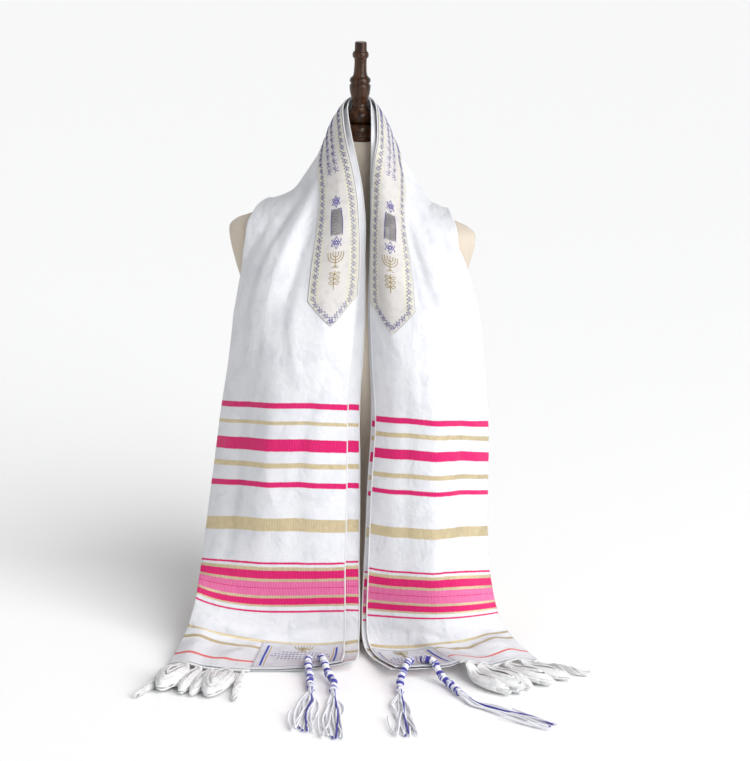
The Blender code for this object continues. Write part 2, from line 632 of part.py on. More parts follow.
def make_fringe(cloth, name, end, turns):
    """A braid past the hem and bunches of two locks that bend and taper on the table."""
    side = math.copysign(1, end)
    run = np.array([end])
    slots = BUNCHES * (LOCKS + 1) + 1
    shares = np.linspace(BRAID_FROM, 1.0, slots + 1)
    up = np.array([0.0, 0.0, 1.0])
    points, faces = [], []
    away_at = []
    for share in shares:
        middle = cloth.sample(cloth.points, run, [share])[0]
        normal = unit(cloth.sample(cloth.normals, run, [share]))[0]
        away = side * unit(cloth.sample(cloth.along, run, [share]))[0]
        middle = middle + away * SEAM
        away_at.append(away)
        for reach, rise in ((0, -1), (BRAID_DEPTH, -1), (BRAID_DEPTH, 1), (0, 1)):
            points.append(middle + away * reach + normal * rise * BRAID_HALF_WALL)
    roots = {}
    for k in range(slots):
        here, after = 4 * k, 4 * k + 4
        for n in range(4):
            m = (n + 1) % 4
            quad = (here + n, here + m, after + m, after + n)[:: -int(side)]
            if n == 1 and (k - 1) % (LOCKS + 1) < LOCKS and 0 < k:
                roots[k] = quad
            else:
                faces.append(quad)
    last = 4 * slots
    faces.append((3, 2, 1, 0)[:: -int(side)])
    faces.append((last, last + 1, last + 2, last + 3)[:: -int(side)])
    for bunch, turn in enumerate(turns):
        first = bunch * (LOCKS + 1) + 1
        centres = [np.mean([points[i] for i in roots[first + lock]], axis=0) for lock in range(LOCKS)]
        away = unit(np.mean(away_at[first : first + LOCKS + 1], axis=0) * (1, 1, 0))
        heading = math.atan2(away[1], away[0]) + turn.swing
        for lock, centre in enumerate(centres):
            offset = (lock - (LOCKS - 1) / 2) * side * LOCK_PITCH
            spot = np.mean(centres, axis=0)
            path, sizes = [], []
            for step in range(LOCK_STEPS):
                t = (step + 1) / LOCK_STEPS
                heading_now = heading + turn.curl * t * t
                ahead = np.array([math.cos(heading_now), math.sin(heading_now), 0.0])
                across = np.cross(up, ahead)
                spot = spot + ahead * turn.length / LOCK_STEPS
                half = LOCK_HALF * (0.5 + 0.5 * math.sin(math.pi * min(1, t * 1.15)))
                rest = half + LOCK_OFF_TABLE
                rise = rest + (centre[2] - rest) * (1 - t) ** 3
                path.append(spot * (1, 1, 0) + across * offset + up * rise)
                sizes.append((half, half))
            quad = roots[first + lock]
            ordered = order_for_growing(points, quad, path[0] - centre, up)
            grow(points, faces, ordered, path, sizes, up)
    add_solid(name, points, faces, FLOSS, 0.5)


def order_for_growing(points, quad, heading, up):
    """The quad's corners from the lower one on the first side, in their own order."""
    heading = unit(heading)
    up = unit(up - heading * float(up @ heading))
    side = np.cross(heading, up)
    centre = np.mean([points[i] for i in quad], axis=0)
    spots = [((points[i] - centre) @ side, (points[i] - centre) @ up) for i in quad]
    first = min(range(4), key=lambda k: spots[k][0] + spots[k][1])
    return [quad[(first + k) % 4] for k in range(4)]


Turn = namedtuple("Turn", "swing curl length")
LEFT_TURNS = (
    Turn(0.02, 0.15, 0.098),
    Turn(0.05, -0.25, 0.104),
    Turn(-0.05, -0.20, 0.100),
    Turn(-0.04, -0.05, 0.095),
    Turn(-0.08, 0.10, 0.100),
    Turn(-0.10, -0.15, 0.104),
    Turn(-0.10, -0.12, 0.104),
    Turn(-0.06, -0.20, 0.116),
)
RIGHT_TURNS = (
    Turn(-0.04, 0.20, 0.090),
    Turn(0.00, 0.30, 0.094),
    Turn(0.06, 0.12, 0.090),
    Turn(0.10, -0.10, 0.084),
    Turn(0.10, 0.18, 0.088),
    Turn(0.20, 0.20, 0.084),
    Turn(0.18, 0.16, 0.084),
    Turn(0.20, 0.26, 0.088),
)

# A corner tassel: a wound head with five knots from an eyelet in the patch over the hem to the
# table, then eight strings. Eyelet and crossing are a distance from the hem and a share across.
Tassel = namedtuple("Tassel", "name end eyelet crossing head strings spread")
TASSELS = (
    Tassel(
        "tzitzit_left_a",
        LEFT_END,
        (0.026, 0.185),
        (0.001, 0.178),
        ((-0.0275, -0.259, 0.0095), (-0.0245, -0.277, 0.0070), (-0.0190, -0.305, 0.0068)),
        ((-0.0175, -0.335), (-0.0165, -0.370), (-0.0150, -0.405), (-0.0120, -0.438)),
        0.0042,
    ),
    Tassel(
        "tzitzit_left_b",
        LEFT_END,
        (0.026, 0.125),
        (0.001, 0.095),
        ((0.0000, -0.259, 0.0105), (0.0080, -0.274, 0.0074), (0.0130, -0.308, 0.0068)),
        ((0.0165, -0.330), (0.0215, -0.368), (0.0265, -0.410), (0.0330, -0.455)),
        0.0038,
    ),
    Tassel(
        "tzitzit_right_a",
        RIGHT_END,
        (0.022, 0.190),
        (0.001, 0.100),
        ((0.1045, -0.257, 0.0150), (0.1035, -0.274, 0.0074), (0.1060, -0.294, 0.0068)),
        ((0.1090, -0.320), (0.1160, -0.355), (0.1230, -0.395), (0.1290, -0.434)),
        0.0040,
    ),
    Tassel(
        "tzitzit_right_b",
        RIGHT_END,
        (0.022, 0.275),
        (0.001, 0.300),
        ((0.1590, -0.244, 0.0130), (0.1720, -0.258, 0.0074), (0.1890, -0.286, 0.0068)),
        ((0.2080, -0.3060), (0.2420, -0.3270), (0.2800, -0.3480), (0.3260, -0.3700)),
        0.0036,
    ),
)
HEAD_SIDES = 8
HEAD_RADIUS = 0.0043
KNOT_SWELL = 0.0011
KNOTS = 5
HEAD_RINGS = 17
HEAD_LIFT = SEAM + BAND_WALL + SEAM + HEAD_RADIUS + KNOT_SWELL
STRING_HALF = 0.0011
STRING_OFF_TABLE = 0.0011
STRING_STEPS = 5


def along_path(spots, shares):
    """Points at shares of the length of a smooth path, and the headings there."""
    spots = np.array(spots, float)
    length = np.concatenate([[0], np.cumsum(np.linalg.norm(np.diff(spots, axis=0), axis=1))])
    way = np.asarray(shares) * length[-1]
    found = smooth_through(length, spots, way)
    ahead = smooth_through(length, spots, np.minimum(way + 1e-3, length[-1]))
    behind = smooth_through(length, spots, np.maximum(way - 1e-3, 0))
    return found, unit(ahead - behind)


def make_tassel(cloth, tassel):
    up = np.array([0.0, 0.0, 1.0])
    away = math.copysign(1, tassel.end)
    path = []
    for distance, across in (tassel.eyelet, tassel.crossing):
        run = np.array([tassel.end - away * distance])
        path.append(cloth.outside(run, np.array([across]), np.array([HEAD_LIFT]))[0])
    shares = np.linspace(0, 1, HEAD_RINGS)
    centres, headings = along_path([*path, *tassel.head], shares)
    angles = np.arange(HEAD_SIDES) * math.tau / HEAD_SIDES + math.pi / HEAD_SIDES
    points, faces = [], []
    for share, centre, heading in zip(shares, centres, headings):
        side = unit(np.cross(heading, up))
        rise = np.cross(side, heading)
        swell = bump(((share * (KNOTS - 1) + 0.5) % 1 - 0.5) / 0.22)
        radius = HEAD_RADIUS + KNOT_SWELL * swell
        for angle in angles:
            points.append(centre + side * radius * math.cos(angle) + rise * radius * math.sin(angle))
    for ring in range(HEAD_RINGS - 1):
        low, high = ring * HEAD_SIDES, (ring + 1) * HEAD_SIDES
        for k in range(HEAD_SIDES):
            n = (k + 1) % HEAD_SIDES
            quad = (low + k, high + k, high + n, low + n)
            if ring < HEAD_RINGS - 2:
                faces.append(quad)
    first = list(range(HEAD_SIDES))
    faces.append(tuple(first))
    last = (HEAD_RINGS - 1) * HEAD_SIDES
    faces.append(tuple(range(last, last + HEAD_SIDES))[::-1])
    start = centres[-1]
    spots = [(start[0], start[1]), *tassel.strings]
    low, high = (HEAD_RINGS - 2) * HEAD_SIDES, (HEAD_RINGS - 1) * HEAD_SIDES
    order = sorted(range(HEAD_SIDES), key=lambda k: math.cos(angles[k] + math.pi / HEAD_SIDES))
    for place, k in enumerate(order):
        n = (k + 1) % HEAD_SIDES
        quad = (low + k, high + k, high + n, low + n)
        angle = angles[k] + math.pi / HEAD_SIDES
        shares = np.linspace(0, 1, STRING_STEPS + 1)[1:] ** 0.85
        reach = 0.93 + 0.07 * ((place * 3) % 5) / 4
        middle, headings = along_path([(x, y, 0.0) for x, y in spots], shares * reach)
        across = (place - (HEAD_SIDES - 1) / 2) * tassel.spread
        path, sizes = [], []
        for share, centre, heading in zip(shares, middle, headings):
            side = unit(np.cross(heading, up))
            fan = 0.75 + 0.35 * math.sin(math.pi * share)
            high_side = max(0.0, math.sin(angle)) * 0.006 * (1 - share) ** 2
            path.append(centre + side * across * fan + up * (STRING_HALF + STRING_OFF_TABLE + high_side))
            sizes.append((STRING_HALF, STRING_HALF))
        root = np.mean([points[i] for i in quad], axis=0)
        ordered = order_for_growing(points, quad, path[0] - root, up)
        grow(points, faces, ordered, path, sizes, up)
    add_solid(tassel.name, points, faces, BLUE_WHITE, 0.6)


clear_scene()
make_torso()
make_turned("neck_cap", CAP_PROFILE, WOOD, 0.35)
make_turned("finial", FINIAL_PROFILE, WOOD, 0.3)
shawl = FoldedCloth()
make_shawl(shawl)
make_neckband(shawl)
make_patch(shawl, "corner_patch_left", LEFT_END)
make_patch(shawl, "corner_patch_right", RIGHT_END)
make_fringe(shawl, "fringe_left", LEFT_END, LEFT_TURNS)
make_fringe(shawl, "fringe_right", RIGHT_END, RIGHT_TURNS)
for tassel in TASSELS:
    make_tassel(shawl, tassel)
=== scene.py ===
import math
from collections import namedtuple
from functools import partial

import bpy
import numpy as np
from mathutils import Matrix, Vector


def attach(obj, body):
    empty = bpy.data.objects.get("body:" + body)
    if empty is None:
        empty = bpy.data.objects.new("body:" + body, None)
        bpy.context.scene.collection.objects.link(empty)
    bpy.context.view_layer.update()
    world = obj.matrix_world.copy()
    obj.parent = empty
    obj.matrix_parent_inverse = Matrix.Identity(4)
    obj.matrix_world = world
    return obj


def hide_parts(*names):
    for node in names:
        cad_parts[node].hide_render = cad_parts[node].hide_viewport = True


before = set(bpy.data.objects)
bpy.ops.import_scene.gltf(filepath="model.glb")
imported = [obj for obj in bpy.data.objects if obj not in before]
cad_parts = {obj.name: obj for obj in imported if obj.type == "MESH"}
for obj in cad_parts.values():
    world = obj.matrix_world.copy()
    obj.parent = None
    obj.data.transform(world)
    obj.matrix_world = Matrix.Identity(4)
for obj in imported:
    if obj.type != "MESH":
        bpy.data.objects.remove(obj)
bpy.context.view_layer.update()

# The view: a long lens a little to the right of the front, looking down on the shoulders.
# The picture is taken with the camera stepped sideways and tipped by a degree.
VIEW_TURN = math.radians(6.0)
VIEW_DROP = math.radians(16.4)
VIEW_TILT = math.radians(1.2)
VIEW_DISTANCE = 3.34
VIEW_HEIGHT = 1.354
VIEW_SIDESTEP = 0.0302
FOCAL_PIXELS = 2346
PICTURE_PIXELS = 750
SENSOR_WIDTH = 36

turn_sine, turn_cosine, drop_cosine = math.sin(VIEW_TURN), math.cos(VIEW_TURN), math.cos(VIEW_DROP)
ahead = Vector((-turn_sine * drop_cosine, turn_cosine * drop_cosine, -math.sin(VIEW_DROP)))
level = Vector((turn_cosine, turn_sine, 0))
above = level.cross(ahead)
view_right = level * math.cos(VIEW_TILT) + above * math.sin(VIEW_TILT)
view_up = above * math.cos(VIEW_TILT) - level * math.sin(VIEW_TILT)
camera = bpy.data.objects.new("camera", bpy.data.cameras.new("camera"))
camera.data.sensor_fit = "HORIZONTAL"
camera.data.sensor_width = SENSOR_WIDTH
camera.data.lens = FOCAL_PIXELS / PICTURE_PIXELS * SENSOR_WIDTH
place = Vector((VIEW_DISTANCE * turn_sine, -VIEW_DISTANCE * turn_cosine, VIEW_HEIGHT)) + level * VIEW_SIDESTEP
turned = Matrix((view_right, view_up, -ahead)).transposed().to_4x4()
camera.matrix_world = Matrix.Translation(place) @ turned
bpy.context.scene.collection.objects.link(camera)
bpy.context.scene.camera = camera

# The dress form: a padded torso of moulded board, closed at the neck and flat underneath.
# Its cover is undyed linen drawn tight, so it is smooth and whole with a fine plain weave. The rings
# are rounded ovals going up, in millimetres but for their squareness.
Ring = namedtuple("Ring", "height half_width half_depth shift squareness")
TORSO_RINGS = (
    Ring(0, 150, 107, 0, 2.4),
    Ring(4.5, 156, 112, 0, 2.4),
    Ring(40, 160, 114, 0, 2.4),
    Ring(90, 162, 115, 0, 2.4),
    Ring(140, 153, 109, 0, 2.4),
    Ring(190, 140, 99, -1, 2.3),
    Ring(240, 129, 92, -1, 2.3),
    Ring(290, 128, 91, -2, 2.3),
    Ring(340, 135, 98, -3, 2.3),
    Ring(390, 144, 107, -4, 2.3),
    Ring(435, 150, 110, -5, 2.3),
    Ring(480, 156, 105, -6, 2.2),
    Ring(520, 163, 96, -7, 2.1),
    Ring(550, 171.5, 87, -8, 2.1),
    Ring(575, 178, 78, -8, 2.1),
    Ring(592, 180.5, 71, -8, 2.1),
    Ring(602, 178.5, 66, -8, 2.1),
    Ring(609, 170, 62, -8, 2.1),
    Ring(617, 150, 58, -7, 2.1),
    Ring(627, 123, 55, -6, 2.1),
    Ring(637, 97, 52, -4, 2.1),
    Ring(648, 73, 49, -2, 2.1),
    Ring(660, 56, 46, -1, 2.0),
    Ring(675, 47, 43, 0, 2.0),
    Ring(700, 41, 40.5, 0, 2.0),
    Ring(730, 38.5, 38.5, 0, 2.0),
    Ring(735, 36.5, 36.5, 0, 2.0),
)
MILLIMETRES = (1000, 1000, 1000, 1000, 1)
torso_table = np.array(TORSO_RINGS) / MILLIMETRES
TORSO_SIDES = 128
TORSO_LEVELS = 130
LINEN_LIGHT = (0.60, 0.53, 0.44, 1)
LINEN_DARK = (0.48, 0.415, 0.335, 1)
LINEN_THREADS = 1500


class Shade:
    """One value in a finish's node tree, so that a finish reads as sums."""

    def __init__(self, tree, value=None):
        self.tree, self.value = tree, value

    def node(self, kind, settings=None, sockets=None, output=0):
        made = self.tree.nodes.new(kind)
        for name, setting in (settings or {}).items():
            if name == "stops":
                for spare in list(made.color_ramp.elements)[1:]:
                    made.color_ramp.elements.remove(spare)
                made.color_ramp.elements[0].position = setting[0][0]
                made.color_ramp.elements[0].color = setting[0][1]
                for position, colour in setting[1:]:
                    made.color_ramp.elements.new(position).color = colour
            elif name == "stepped":
                made.color_ramp.interpolation = "CONSTANT"
            else:
                setattr(made, name, setting)
        for key, given in (sockets or {}).items():
            given = given.value if isinstance(given, Shade) else given
            if isinstance(given, bpy.types.NodeSocket):
                self.tree.links.new(given, made.inputs[key])
            else:
                made.inputs[key].default_value = given
        return Shade(self.tree, made.outputs[output])

    def noise(self, scale, detail=2, **more):
        """Noise read at this place, with the node's other sockets by name."""
        return self.node("ShaderNodeTexNoise", {}, {"Vector": self, "Scale": scale, "Detail": detail, **more})

    def pair(self):
        """The first two of its coordinates."""
        return [self.node("ShaderNodeSeparateXYZ", {}, {0: self}, k) for k in (0, 1)]

    def maths(self, operation, *values):
        return self.node("ShaderNodeMath", {"operation": operation}, dict(enumerate(values)))

    def __add__(self, other):
        return self.maths("ADD", self, other)

    def __sub__(self, other):
        return self.maths("SUBTRACT", self, other)

    def __rsub__(self, other):
        return self.maths("SUBTRACT", other, self)

    def __mul__(self, other):
        return self.maths("MULTIPLY", self, other)

    def __truediv__(self, other):
        return self.maths("DIVIDE", self, other)

    def __gt__(self, other):
        return self.maths("GREATER_THAN", self, other)

    def __lt__(self, other):
        return self.maths("LESS_THAN", self, other)

    def __abs__(self):
        return self.maths("ABSOLUTE", self)

    __radd__ = __add__

    def sine(self):
        return self.maths("SINE", self)

    def rising(self, low, high):
        smooth = {"interpolation_type": "SMOOTHSTEP"}
        return self.node("ShaderNodeMapRange", smooth, {"Value": self, 1: low, 2: high})

    def between(self, low_colour, high_colour):
        return self.node("ShaderNodeMix", {"data_type": "RGBA"}, {0: self, 6: low_colour, 7: high_colour}, 2)


def new_finish(name, map_name=None):
    """A material and where it is read: in space, or in metres on the piece's own flat map."""
    made = bpy.data.materials.new(name)
    made.use_nodes = True
    start = Shade(made.node_tree)
    if map_name:
        return made, start.node("ShaderNodeUVMap", {"uv_map": map_name})
    return made, start.node("ShaderNodeTexCoord", output=3)


def dressed(made, colour, roughness, relief, values=None, metallic=None):
    """Feeds a finish's shader; relief is a height, its depth in metres and its strength."""
    height, depth, strength = relief
    relief = height.node("ShaderNodeBump", {}, {"Strength": strength, "Distance": depth, "Height": height})
    sockets = made.node_tree.nodes["Principled BSDF"].inputs
    shades = {"Base Color": colour, "Roughness": roughness, "Normal": relief, "Metallic": metallic}
    for name, shade in shades.items():
        if shade is not None:
            made.node_tree.links.new(shade.value, sockets[name])
    for name, value in (values or {}).items():
        sockets[name].default_value = value
    return made


def linen_finish():
    made, spot = new_finish("form_linen")
    round_it, up_it = spot.node("ShaderNodeUVMap", {"uv_map": "linen"}).pair()
    slub, cloudy = spot.noise(160, 4, Roughness=0.6), spot.noise(9, 3)
    warp = (round_it * (LINEN_THREADS * math.pi) + slub * 5).sine()
    weft = (up_it * (LINEN_THREADS * math.pi) + slub * 5).sine()
    weave = warp * weft * 0.5 + 0.5
    colour = (weave * 0.35 + slub * 0.35 + cloudy * 0.5 - 0.1).between(LINEN_DARK, LINEN_LIGHT)
    relief = (weave * 0.6 + slub, 0.0003, 0.7)
    return dressed(made, colour, 0.95 - weave * 0.12, relief, {"Sheen Weight": 0.15})


def smooth_through(knots, values, wanted):
    """Cubic curve through rows of values, with slopes weighed by the spacing of the knots."""
    knots, values, wanted = (np.asarray(part, float) for part in (knots, values, wanted))
    steps = np.diff(knots)
    shape = (-1,) + (1,) * (values.ndim - 1)
    chords = np.diff(values, axis=0) / steps.reshape(shape)
    slopes = np.empty_like(values)
    slopes[0], slopes[-1] = chords[0], chords[-1]
    before, after = steps[:-1].reshape(shape), steps[1:].reshape(shape)
    slopes[1:-1] = (chords[:-1] * after + chords[1:] * before) / (before + after)
    k = np.clip(np.searchsorted(knots, wanted, side="right") - 1, 0, len(steps) - 1)
    h = steps[k].reshape(shape)
    t = ((wanted - knots[k]) / steps[k]).reshape(shape)
    return (
        values[k] * (2 * t**3 - 3 * t**2 + 1)
        + slopes[k] * h * (t**3 - 2 * t**2 + t)
        + values[k + 1] * (3 * t**2 - 2 * t**3)
        + slopes[k + 1] * h * (t**3 - t**2)
    )


def add_piece(name, points, faces, finish, maps=None, flat_map_name=None, sharp=None):
    """A smooth mesh piece, with a map given for each of its points."""
    mesh = bpy.data.meshes.new(name)
    faces = faces.tolist() if isinstance(faces, np.ndarray) else faces
    mesh.from_pydata(np.asarray(points, float).tolist(), [], faces)
    mesh.polygons.foreach_set("use_smooth", np.ones(len(mesh.polygons), bool))
    if maps is not None:
        corners = np.empty(len(mesh.loops), np.int32)
        mesh.loops.foreach_get("vertex_index", corners)
        layer = mesh.uv_layers.new(name=flat_map_name)
        layer.data.foreach_set("uv", np.asarray(maps, np.float32)[corners].ravel())
    if sharp:
        mesh.set_sharp_from_angle(angle=math.radians(sharp))
    mesh.materials.append(finish)
    piece = bpy.data.objects.new(name, mesh)
    bpy.context.scene.collection.objects.link(piece)
    return piece


def grid_faces(rows, columns):
    a = np.arange(rows - 1)[:, None] * columns + np.arange(columns - 1)[None, :]
    return np.stack([a, a + columns, a + columns + 1, a + 1], axis=-1).reshape(-1, 4)


def lathe_faces(rings, sides):
    """Faces going up a stack of rings, with flat ends; the last point of a ring repeats the first."""
    faces = grid_faces(rings, sides + 1)[:, ::-1].tolist()
    faces.append(list(range(sides))[::-1])
    faces.append([(rings - 1) * (sides + 1) + k for k in range(sides)])
    return faces


def weld(piece):
    """Joins the points that lie on each other, as where a ring ends on its start."""
    mould = piece.modifiers.new("weld", "WELD")
    mould.merge_threshold = 1e-6
    bpy.context.view_layer.update()
    done = bpy.data.meshes.new_from_object(piece.evaluated_get(bpy.context.evaluated_depsgraph_get()))
    piece.modifiers.clear()
    old, piece.data = piece.data, done
    bpy.data.meshes.remove(old)
    done.name = piece.name


def settle(piece, node=None):
    """Lays a piece on the form's body and hides the solid that it replaces."""
    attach(piece, "root")
    if node:
        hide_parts(node)
    return piece


def make_torso():
    low, high = torso_table[1, 0], torso_table[-1, 0]
    heights = np.unique(np.concatenate([torso_table[:, 0], np.linspace(low, high, TORSO_LEVELS)]))
    angles = np.linspace(0, math.tau, TORSO_SIDES + 1)
    points, maps = [], []
    torso_rows = smooth_through(torso_table[:, 0], torso_table, heights)
    for height, half_width, half_depth, shift, square in torso_rows:
        c, s = np.cos(angles), np.sin(angles)
        x = np.sign(c) * abs(c) ** (2 / square) * half_width + shift
        y = np.sign(s) * abs(s) ** (2 / square) * half_depth
        points.append(np.column_stack([x, y, np.full_like(x, height)]))
        maps.append(np.column_stack([angles * 0.12, np.full_like(x, height)]))
    torso = add_piece("form_cover", np.concatenate(points), lathe_faces(len(heights), TORSO_SIDES),
                      linen_finish(), np.concatenate(maps), "linen", sharp=50)
    weld(torso)
    settle(torso, "form_torso")


make_torso()

# The cap and the finial: hardwood turned on a lathe, stained dark and varnished to a gloss.
# The cap sits on the neck, with a cut pattern round its side, and the finial is pegged in it.
# The two profiles give height and radius going up, in tenths of a millimetre.
CAP_PROFILE = np.array([
    (7353, 335), (7363, 345), (7405, 345), (7415, 325), (7480, 300), (7492, 300), (7540, 280),
    (7570, 240),
]) / 10000
FINIAL_PROFILE = np.array([
    (7573, 162), (7600, 186), (7660, 196), (7715, 184), (7752, 140), (7765, 118), (7785, 116),
    (7800, 106), (7820, 112), (7845, 103), (7900, 112), (7980, 138), (8060, 150), (8115, 152),
    (8125, 136), (8150, 136), (8160, 150), (8210, 148), (8245, 104), (8300, 92), (8440, 86),
    (8500, 92), (8512, 112), (8550, 118), (8588, 108), (8600, 86), (8720, 86), (8732, 74),
]) / 10000
TURNING_SIDES = 72
SANDINGS = 2
CUT_DEPTH = 0.0007
CUTS_ROUND = 18
CUTS_UP = 1100
WOOD_DARK = (0.008, 0.004, 0.0025, 1)
WOOD_MIDDLE = (0.018, 0.0076, 0.0038, 1)
WOOD_LIGHT = (0.084, 0.031, 0.0125, 1)


def wood_finish():
    made, spot = new_finish("turned_wood")
    drawn_out = spot.node("ShaderNodeMapping", {}, {"Vector": spot, "Scale": (1, 1, 0.16)})
    bent, grain, pores = drawn_out.noise(30, 3), drawn_out.noise(210, 6, Roughness=0.65), drawn_out.noise(900)
    stops = [(0.0, WOOD_DARK), (0.42, WOOD_MIDDLE), (0.66, WOOD_LIGHT), (1.0, WOOD_MIDDLE)]
    colour = spot.node("ShaderNodeValToRGB", {"stops": stops}, {0: grain * 0.75 + bent * 0.7 - 0.24})
    values = {"Specular IOR Level": 0.12, "Coat Weight": 0.32, "Coat Roughness": 0.07}
    return dressed(made, colour, pores * 0.22 + 0.20, (pores + grain * 0.5, 0.0002, 0.5), values)


def rounded(line):
    """A turned profile with its corners cut back to the soft edges that sanding leaves."""
    for _ in range(SANDINGS):
        cut = np.empty((2 * len(line) - 2, 2))
        cut[0::2] = line[:-1] * 0.8 + line[1:] * 0.2
        cut[1::2] = line[:-1] * 0.2 + line[1:] * 0.8
        line = np.concatenate([line[:1], cut, line[-1:]])
    return line


def turn_wood(name, node, profile, finish, cut_from=0.0, cut_to=0.0):
    line = rounded(profile)
    angles = np.linspace(0, math.tau, TURNING_SIDES + 1)
    points = []
    for height, radius in line:
        across = np.full_like(angles, radius)
        if cut_from < height < cut_to:
            wave = np.sin(angles * CUTS_ROUND) * math.sin((height - cut_from) * CUTS_UP)
            across -= CUT_DEPTH * (wave > 0.2)
        ring = [across * np.cos(angles), across * np.sin(angles), np.full_like(angles, height)]
        points.append(np.column_stack(ring))
    ring_faces = lathe_faces(len(line), TURNING_SIDES)
    turned_piece = add_piece(name, np.concatenate(points), ring_faces, finish, sharp=45)
    weld(turned_piece)
    settle(turned_piece, node)


varnished = wood_finish()
cut_rows = [(z, 0.0322 - (z - 0.7415) * 0.2) for z in np.linspace(0.7424, 0.7476, 12)]
cap_profile = np.concatenate([CAP_PROFILE[:4], cut_rows, CAP_PROFILE[4:]])
turn_wood("turned_cap", "neck_cap", cap_profile, varnished, 0.7420, 0.7480)
turn_wood("turned_finial", "finial", FINIAL_PROFILE, varnished)

# The shawl: one length of woven satin with ribbed bands of magenta, pink and gilt weft, folded
# once along its length. It lies round the neck and hangs to the table, where its ends turn forward.
LEFT_END = -0.950
RIGHT_END = 0.960
FOLDED_WIDTH = 0.250
WALL = 0.0015
BODY_HALF_GAP = 0.0027
TABLE_HALF_GAP = 0.0017
TABLE_RUN = 0.84

# One section of the folded cloth, in millimetres: run is the way along from the back of the neck,
# edge lies on the open long edge, near and far a third and two thirds across, fold on the fold.
Section = namedtuple("Section", "run edge near far fold")
BACK_SECTION = Section(0, (0, 32, 792), (0, 64, 716), (0, 88, 648), (0, 100, 590))
LEFT_SECTIONS = (
    Section(45, (-20, -2, 779), (-44, 34, 722), (-54, 68, 655), (-46, 94, 594)),
    Section(75, (-18, -30, 768), (-53, 9, 716), (-74, 50, 656), (-76, 82, 602)),
    Section(100, (-15, -49, 753), (-55, -13, 705), (-88, 30, 652), (-100, 62, 612)),
    Section(135, (-9, -60, 719), (-53, -42, 687), (-96, 3, 648), (-122, 34, 621)),
    Section(175, (1, -69, 682), (-51, -68, 662), (-102, -40, 636), (-137, -2, 628)),
    Section(225, (10, -81, 633), (-50, -92, 619), (-106, -77, 605), (-147, -40, 595)),
    Section(280, (14, -93, 579), (-54, -112, 568), (-114, -98, 559), (-158, -54, 549)),
    Section(345, (12, -106, 515), (-58, -128, 508), (-120, -110, 500), (-168, -55, 488)),
    Section(430, (8, -120, 433), (-57, -140, 432), (-122, -119, 424), (-178, -52, 406)),
    Section(494, (4, -127, 369), (-56, -147, 374), (-123, -124, 365), (-187, -54, 343)),
    Section(580, (5, -132, 283), (-60, -151, 287), (-129, -131, 279), (-196, -65, 258)),
    Section(675, (6, -135, 190), (-62, -152, 194), (-134, -140, 188), (-204, -88, 166)),
    Section(730, (6, -137, 134), (-62, -150, 134), (-135, -146, 130), (-206, -116, 118)),
    Section(804, (8, -139, 59), (-65, -146, 56), (-141, -157, 58), (-209, -156, 71)),
    Section(835, (9, -143, 29), (-67, -149, 24), (-146, -163, 32), (-214, -165, 47)),
    Section(857, (10, -154, 12), (-70, -160, 6.5), (-152, -170, 18), (-218, -173, 31)),
    Section(880, (12, -172, 7.5), (-71, -179, 4), (-154, -188, 12.5), (-222, -190, 21)),
    Section(915, (14, -202, 11), (-72, -210, 4), (-156, -220, 11), (-225, -217, 14)),
    Section(950, (16, -232, 18), (-73, -241, 4), (-157, -251, 5), (-231, -248, 4.5)),
)
RIGHT_SECTIONS = (
    Section(47, (20, -4, 777), (44, 33, 721), (55, 67, 655), (46, 94, 594)),
    Section(78, (27, -33, 768), (57, 7, 714), (77, 48, 655), (76, 82, 601)),
    Section(105, (32, -51, 750), (62, -16, 703), (89, 26, 651), (99, 60, 610)),
    Section(140, (33, -61, 715), (64, -46, 684), (98, -1, 646), (119, 32, 618)),
    Section(180, (32, -71, 677), (68, -74, 658), (104, -44, 633), (131, -6, 623)),
    Section(225, (32, -81, 633), (73, -95, 617), (112, -76, 604), (143, -38, 598)),
    Section(280, (33, -93, 579), (80, -113, 567), (127, -96, 559), (160, -51, 568)),
    Section(345, (35, -105, 515), (87, -129, 510), (136, -108, 503), (179, -43, 505)),
    Section(430, (41, -119, 432), (94, -144, 433), (146, -118, 424), (191, -36, 418)),
    Section(509, (48, -128, 353), (102, -150, 358), (153, -124, 350), (200, -38, 325)),
    Section(600, (45, -133, 262), (101, -153, 266), (155, -131, 261), (203, -48, 237)),
    Section(690, (43, -136, 172), (100, -154, 174), (155, -139, 172), (207, -64, 151)),
    Section(745, (42, -138, 117), (99, -152, 119), (156, -144, 119), (214, -80, 100)),
    Section(811, (41, -140, 51), (99, -150, 55), (160, -149, 58), (230, -102, 52)),
    Section(840, (43, -147, 24), (101, -153, 29), (165, -155, 38), (240, -113, 38)),
    Section(866, (50, -162, 10), (108, -163, 12), (177, -161, 26), (249, -122, 30)),
    Section(889, (60, -181, 7.5), (118, -178, 9), (187, -172, 24), (257, -129, 24)),
    Section(925, (77, -212, 12), (133, -203, 12), (201, -188, 22), (274, -139, 13)),
    Section(960, (94, -243, 19), (152, -226, 18), (215, -203, 18), (291, -149, 4.5)),
)

# How far the inner layer reaches past the outer layer's open edge, along each half.
LEFT_LIP = np.array([
    (0.00, 0.004), (0.08, 0.006), (0.14, 0.010), (0.22, 0.0110), (0.28, 0.0090),
    (0.34, 0.014), (0.43, 0.018), (0.50, 0.023), (0.95, 0.020),
])
RIGHT_LIP = np.array([
    (0.00, 0.004), (0.08, 0.008), (0.14, 0.012), (0.18, 0.0090), (0.22, 0.0080),
    (0.28, 0.0080), (0.38, 0.009), (0.51, 0.013), (0.72, 0.009), (0.96, 0.006),
])

